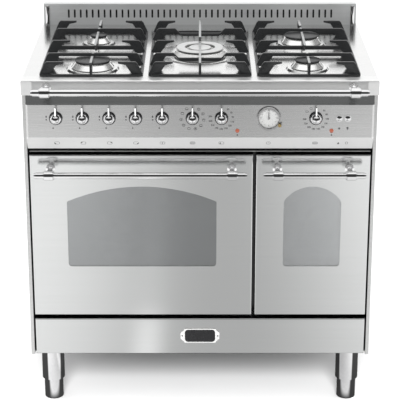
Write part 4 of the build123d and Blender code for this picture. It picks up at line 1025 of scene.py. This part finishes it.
# Screws: pan heads that hold the rear panel and the terminal box.
# Plated steel with a pressed cross recess.
head_radius = 0.0036
head_height = 0.0018
head_edge = 0.0008
cross_length = 0.0040
cross_width = 0.0008
cross_height = 0.0016
screw = turned("pan_head", 16, head_radius, head_height, (0, 0, head_height / 2))
soften(screw, head_edge, 2, edge_angle=60)
for turn in (0, math.pi / 2):
    slit = upright_block("cross_slit", cross_length, cross_width, cross_height, (0, 0, head_height))
    carve(screw, shifted(slit, 0, 0, turn))
rear_low, rear_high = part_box("rear_panel")
box_low, box_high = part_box("terminal_box")
rear_inset = 0.012
box_inset = 0.01
gland_end = 0.014
side_first_z = rear_low.z + 0.03
side_pitch = 0.172
foot_pitch = 0.26
rear_spots = [(side * (rear_high.x - rear_inset), rear_high.y, side_first_z + side_pitch * i)
              for side in (-1, 1) for i in range(5)]
rear_spots += [(foot_pitch * i, rear_high.y, rear_low.z + rear_inset) for i in (-1, 0, 1)]
rear_spots += [(x, box_high.y, z) for x in (box_low.x + box_inset, box_high.x - box_inset)
               for z in (box_low.z + gland_end + box_inset, box_high.z - box_inset)]
heads = []
for spot in rear_spots:
    head = only(copy_of(screw, "rear_screw", spot))
    head.rotation_euler = (-math.pi / 2, 0, 0)
    bpy.ops.object.transform_apply()
    heads.append(head)
bpy.data.objects.remove(screw)
settle(together(heads, "rear_screws"), "cooker", zinc)

# Spark electrodes: a white ceramic pin with a wire tip beside each of the four round burners.
# Glazed alumina, pushed up through the hob; it stands clear of the skirt.
ceramic_radius = 0.0028
ceramic_height = 0.0150
shoulder_width = 0.0018
shoulder_rise = 0.0008
tip_length = 0.003
pin_edge = 0.0003
front_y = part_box("door_panel_left")[0].y
boss_z = hob_z + 0.005
front_burner_y = front_y + 0.107
rear_burner_y = front_y + 0.372
electrode_spots = [
    (-burner_x + 0.018, front_burner_y + 0.0565), (-burner_x + 0.010, rear_burner_y + 0.0350),
    (burner_x - 0.018, rear_burner_y + 0.0565), (burner_x - 0.014, front_burner_y + 0.0440),
]
pins = []
for x, y in electrode_spots:
    pin = turned("electrode", 14, ceramic_radius, ceramic_height, (x, y, boss_z + ceramic_height / 2))
    pick(pin, "FACE", lambda face: face.normal.z > 0.9)
    bpy.ops.mesh.inset(thickness=shoulder_width, depth=shoulder_rise)
    bpy.ops.mesh.extrude_region_move(TRANSFORM_OT_translate={"value": (0, 0, tip_length)})
    bpy.ops.object.mode_set(mode="OBJECT")
    soften(pin, pin_edge, 2, edge_angle=50, shade_angle=40)
    pins.append(pin)
settle(together(pins, "spark_electrodes"), "cooker", white)

# Floor: a plain pale studio floor that runs far past the view, so that it fills the background.
# Matt white paint. Polished parts see it as a painted reflection: dimmer far in front and straight ahead,
# with a painted gleam left of the middle, and painted shade beside and under the cooker.
floor_size = 60
bpy.ops.mesh.primitive_plane_add(size=floor_size)
floor = bpy.context.object
floor.name = "studio_floor"
dim_x = 0.08
dim_reach = (0.03, 0.68)
dim_levels = (0.54, 1.07)
far_reach = (-4.5, -3.3)
far_levels = (0.12, 1.0)
gleam_x = -0.152
gleam_half = 0.075
gleam_level = 0.36
gleam_reach = (-1.0, -0.78)
gleam_shares = (0.2, 1.0)
leg_x = 0.41
shade_slope = 0.62
shade_front = (-0.31, -0.26)
shade_back = (0.34, 0.44)
shade_sides = (0.70, 0.88)
shade_level = 0.93
floor_paint, floor_tree, floor_shader = new_finish("pale_floor", Roughness=0.9, Specular_IOR_Level=0.1)
tint(floor_shader, handled(floor_tree, 0.7), (0.89, 0.89, 0.89), (0.91, 0.91, 0.91))
floor_x = along(floor_tree, "X")
floor_y = along(floor_tree, "Y")
middle_dim = soft_step(off_line(floor_x, dim_x), *dim_reach, *dim_levels)
far_dim = soft_step(floor_y, *far_reach, *far_levels)
# Painted highlight: a bright strip that the drawer front reflects.
gleam = combine("MULTIPLY", soft_step(off_line(floor_x, gleam_x), gleam_half, 0.0, 0.0, gleam_level),
                soft_step(floor_y, *gleam_reach, *gleam_shares))
lit = combine("ADD", combine("MULTIPLY", middle_dim, far_dim), gleam)
to_side = from_middle(floor_tree)
past_leg = combine("MAXIMUM", combine("SUBTRACT", to_side, leg_x), 0.0)
# Painted shade beside and under the cooker, seen only in reflections.
beside = soft_step(raised(floor_y, past_leg, shade_slope), *shade_front, 0.0, shade_level)
within = combine("MULTIPLY", soft_step(to_side, *shade_sides, 1.0, 0.0),
                 soft_step(floor_y, *shade_back, 1.0, 0.0))
shade = spread(combine("MULTIPLY", beside, within), 1.0, 0.0)
glow = place(floor_tree, "ShaderNodeEmission", Color=(1, 1, 1, 1))
feed(glow, "Strength", combine("MULTIPLY", lit, shade))
floor_mix = floor_tree.nodes.new("ShaderNodeMixShader")
feed(floor_mix, "Fac", floor_tree.nodes.new("ShaderNodeLightPath").outputs["Is Glossy Ray"])
feed(floor_mix, 1, floor_shader.outputs["BSDF"])
feed(floor_mix, 2, glow.outputs["Emission"])
feed(floor_tree.nodes["Material Output"], "Surface", floor_mix.outputs["Shader"])
floor.data.materials.append(floor_paint)

# Light: an even white tent for matt surfaces. What shines sees a broad lamp overhead and a white backdrop,
# with the room unlit behind the camera and at the sides.
scene = bpy.context.scene
scene.view_settings.view_transform = "Standard"
world = bpy.data.worlds.new("studio_tent")
scene.world = world
world.use_nodes = True
tent = world.node_tree
tent.nodes.clear()
tent_strength = 1.15
unlit = 0.04
lamp_strength = 1.1
lamp_tilt = math.radians(16.4)
lamp_outer = math.radians(50.4)
lamp_inner = math.radians(43.4)
backdrop_reach = (0.74, 0.86)
facing = tent.nodes.new("ShaderNodeTexCoord").outputs["Generated"]
way = feed(tent.nodes.new("ShaderNodeSeparateXYZ"), "Vector", facing)
to_lamp = tent.nodes.new("ShaderNodeVectorMath")
to_lamp.operation = "DOT_PRODUCT"
to_lamp.inputs[1].default_value = (0, math.sin(lamp_tilt), math.cos(lamp_tilt))
feed(to_lamp, 0, facing)
overhead = soft_step(to_lamp.outputs["Value"], math.cos(lamp_outer), math.cos(lamp_inner))
backdrop = soft_step(way.outputs["Y"], *backdrop_reach)
choose = tent.nodes.new("ShaderNodeMix")
choose.data_type = "FLOAT"
choose.inputs["A"].default_value = tent_strength
feed(choose, "Factor", tent.nodes.new("ShaderNodeLightPath").outputs["Is Glossy Ray"])
feed(choose, "B", spread(combine("MAXIMUM", overhead, backdrop), unlit, lamp_strength))
tent_light = place(tent, "ShaderNodeBackground", Color=(1, 1, 1, 1))
feed(tent_light, "Strength", choose.outputs["Result"])
feed(tent.nodes.new("ShaderNodeOutputWorld"), "Surface", tent_light.outputs["Background"])

# Front lamp: a wide soft lamp behind the camera that lights the floor in front of the cooker and a little
# way under it. It is kept out of reflections, so that it leaves no glint on polished parts.
lamp_height_angle = 34
front_lamp_data = bpy.data.lights.new("front_lamp", "SUN")
front_lamp_data.energy = 3.4
front_lamp_data.angle = math.radians(20)
front_lamp = bpy.data.objects.new("front_lamp", front_lamp_data)
scene.collection.objects.link(front_lamp)
front_lamp.rotation_euler = (math.radians(90 - lamp_height_angle), 0, 0)
front_lamp.visible_glossy = False

# Camera: straight in front, about a metre higher than the hob and looking down, with a long lens.
# Everything in view is sharp.
camera_distance = 3.878
camera_height = 1.960
camera_pitch = 19.58
camera_data = bpy.data.cameras.new("camera")
camera = bpy.data.objects.new("camera", camera_data)
scene.collection.objects.link(camera)
camera_data.sensor_width = 36.0
camera_data.lens = 144.0
camera.location = (0.0, front_y - camera_distance, camera_height)
camera.rotation_euler = (math.radians(90 - camera_pitch), 0, 0)
scene.camera = camera
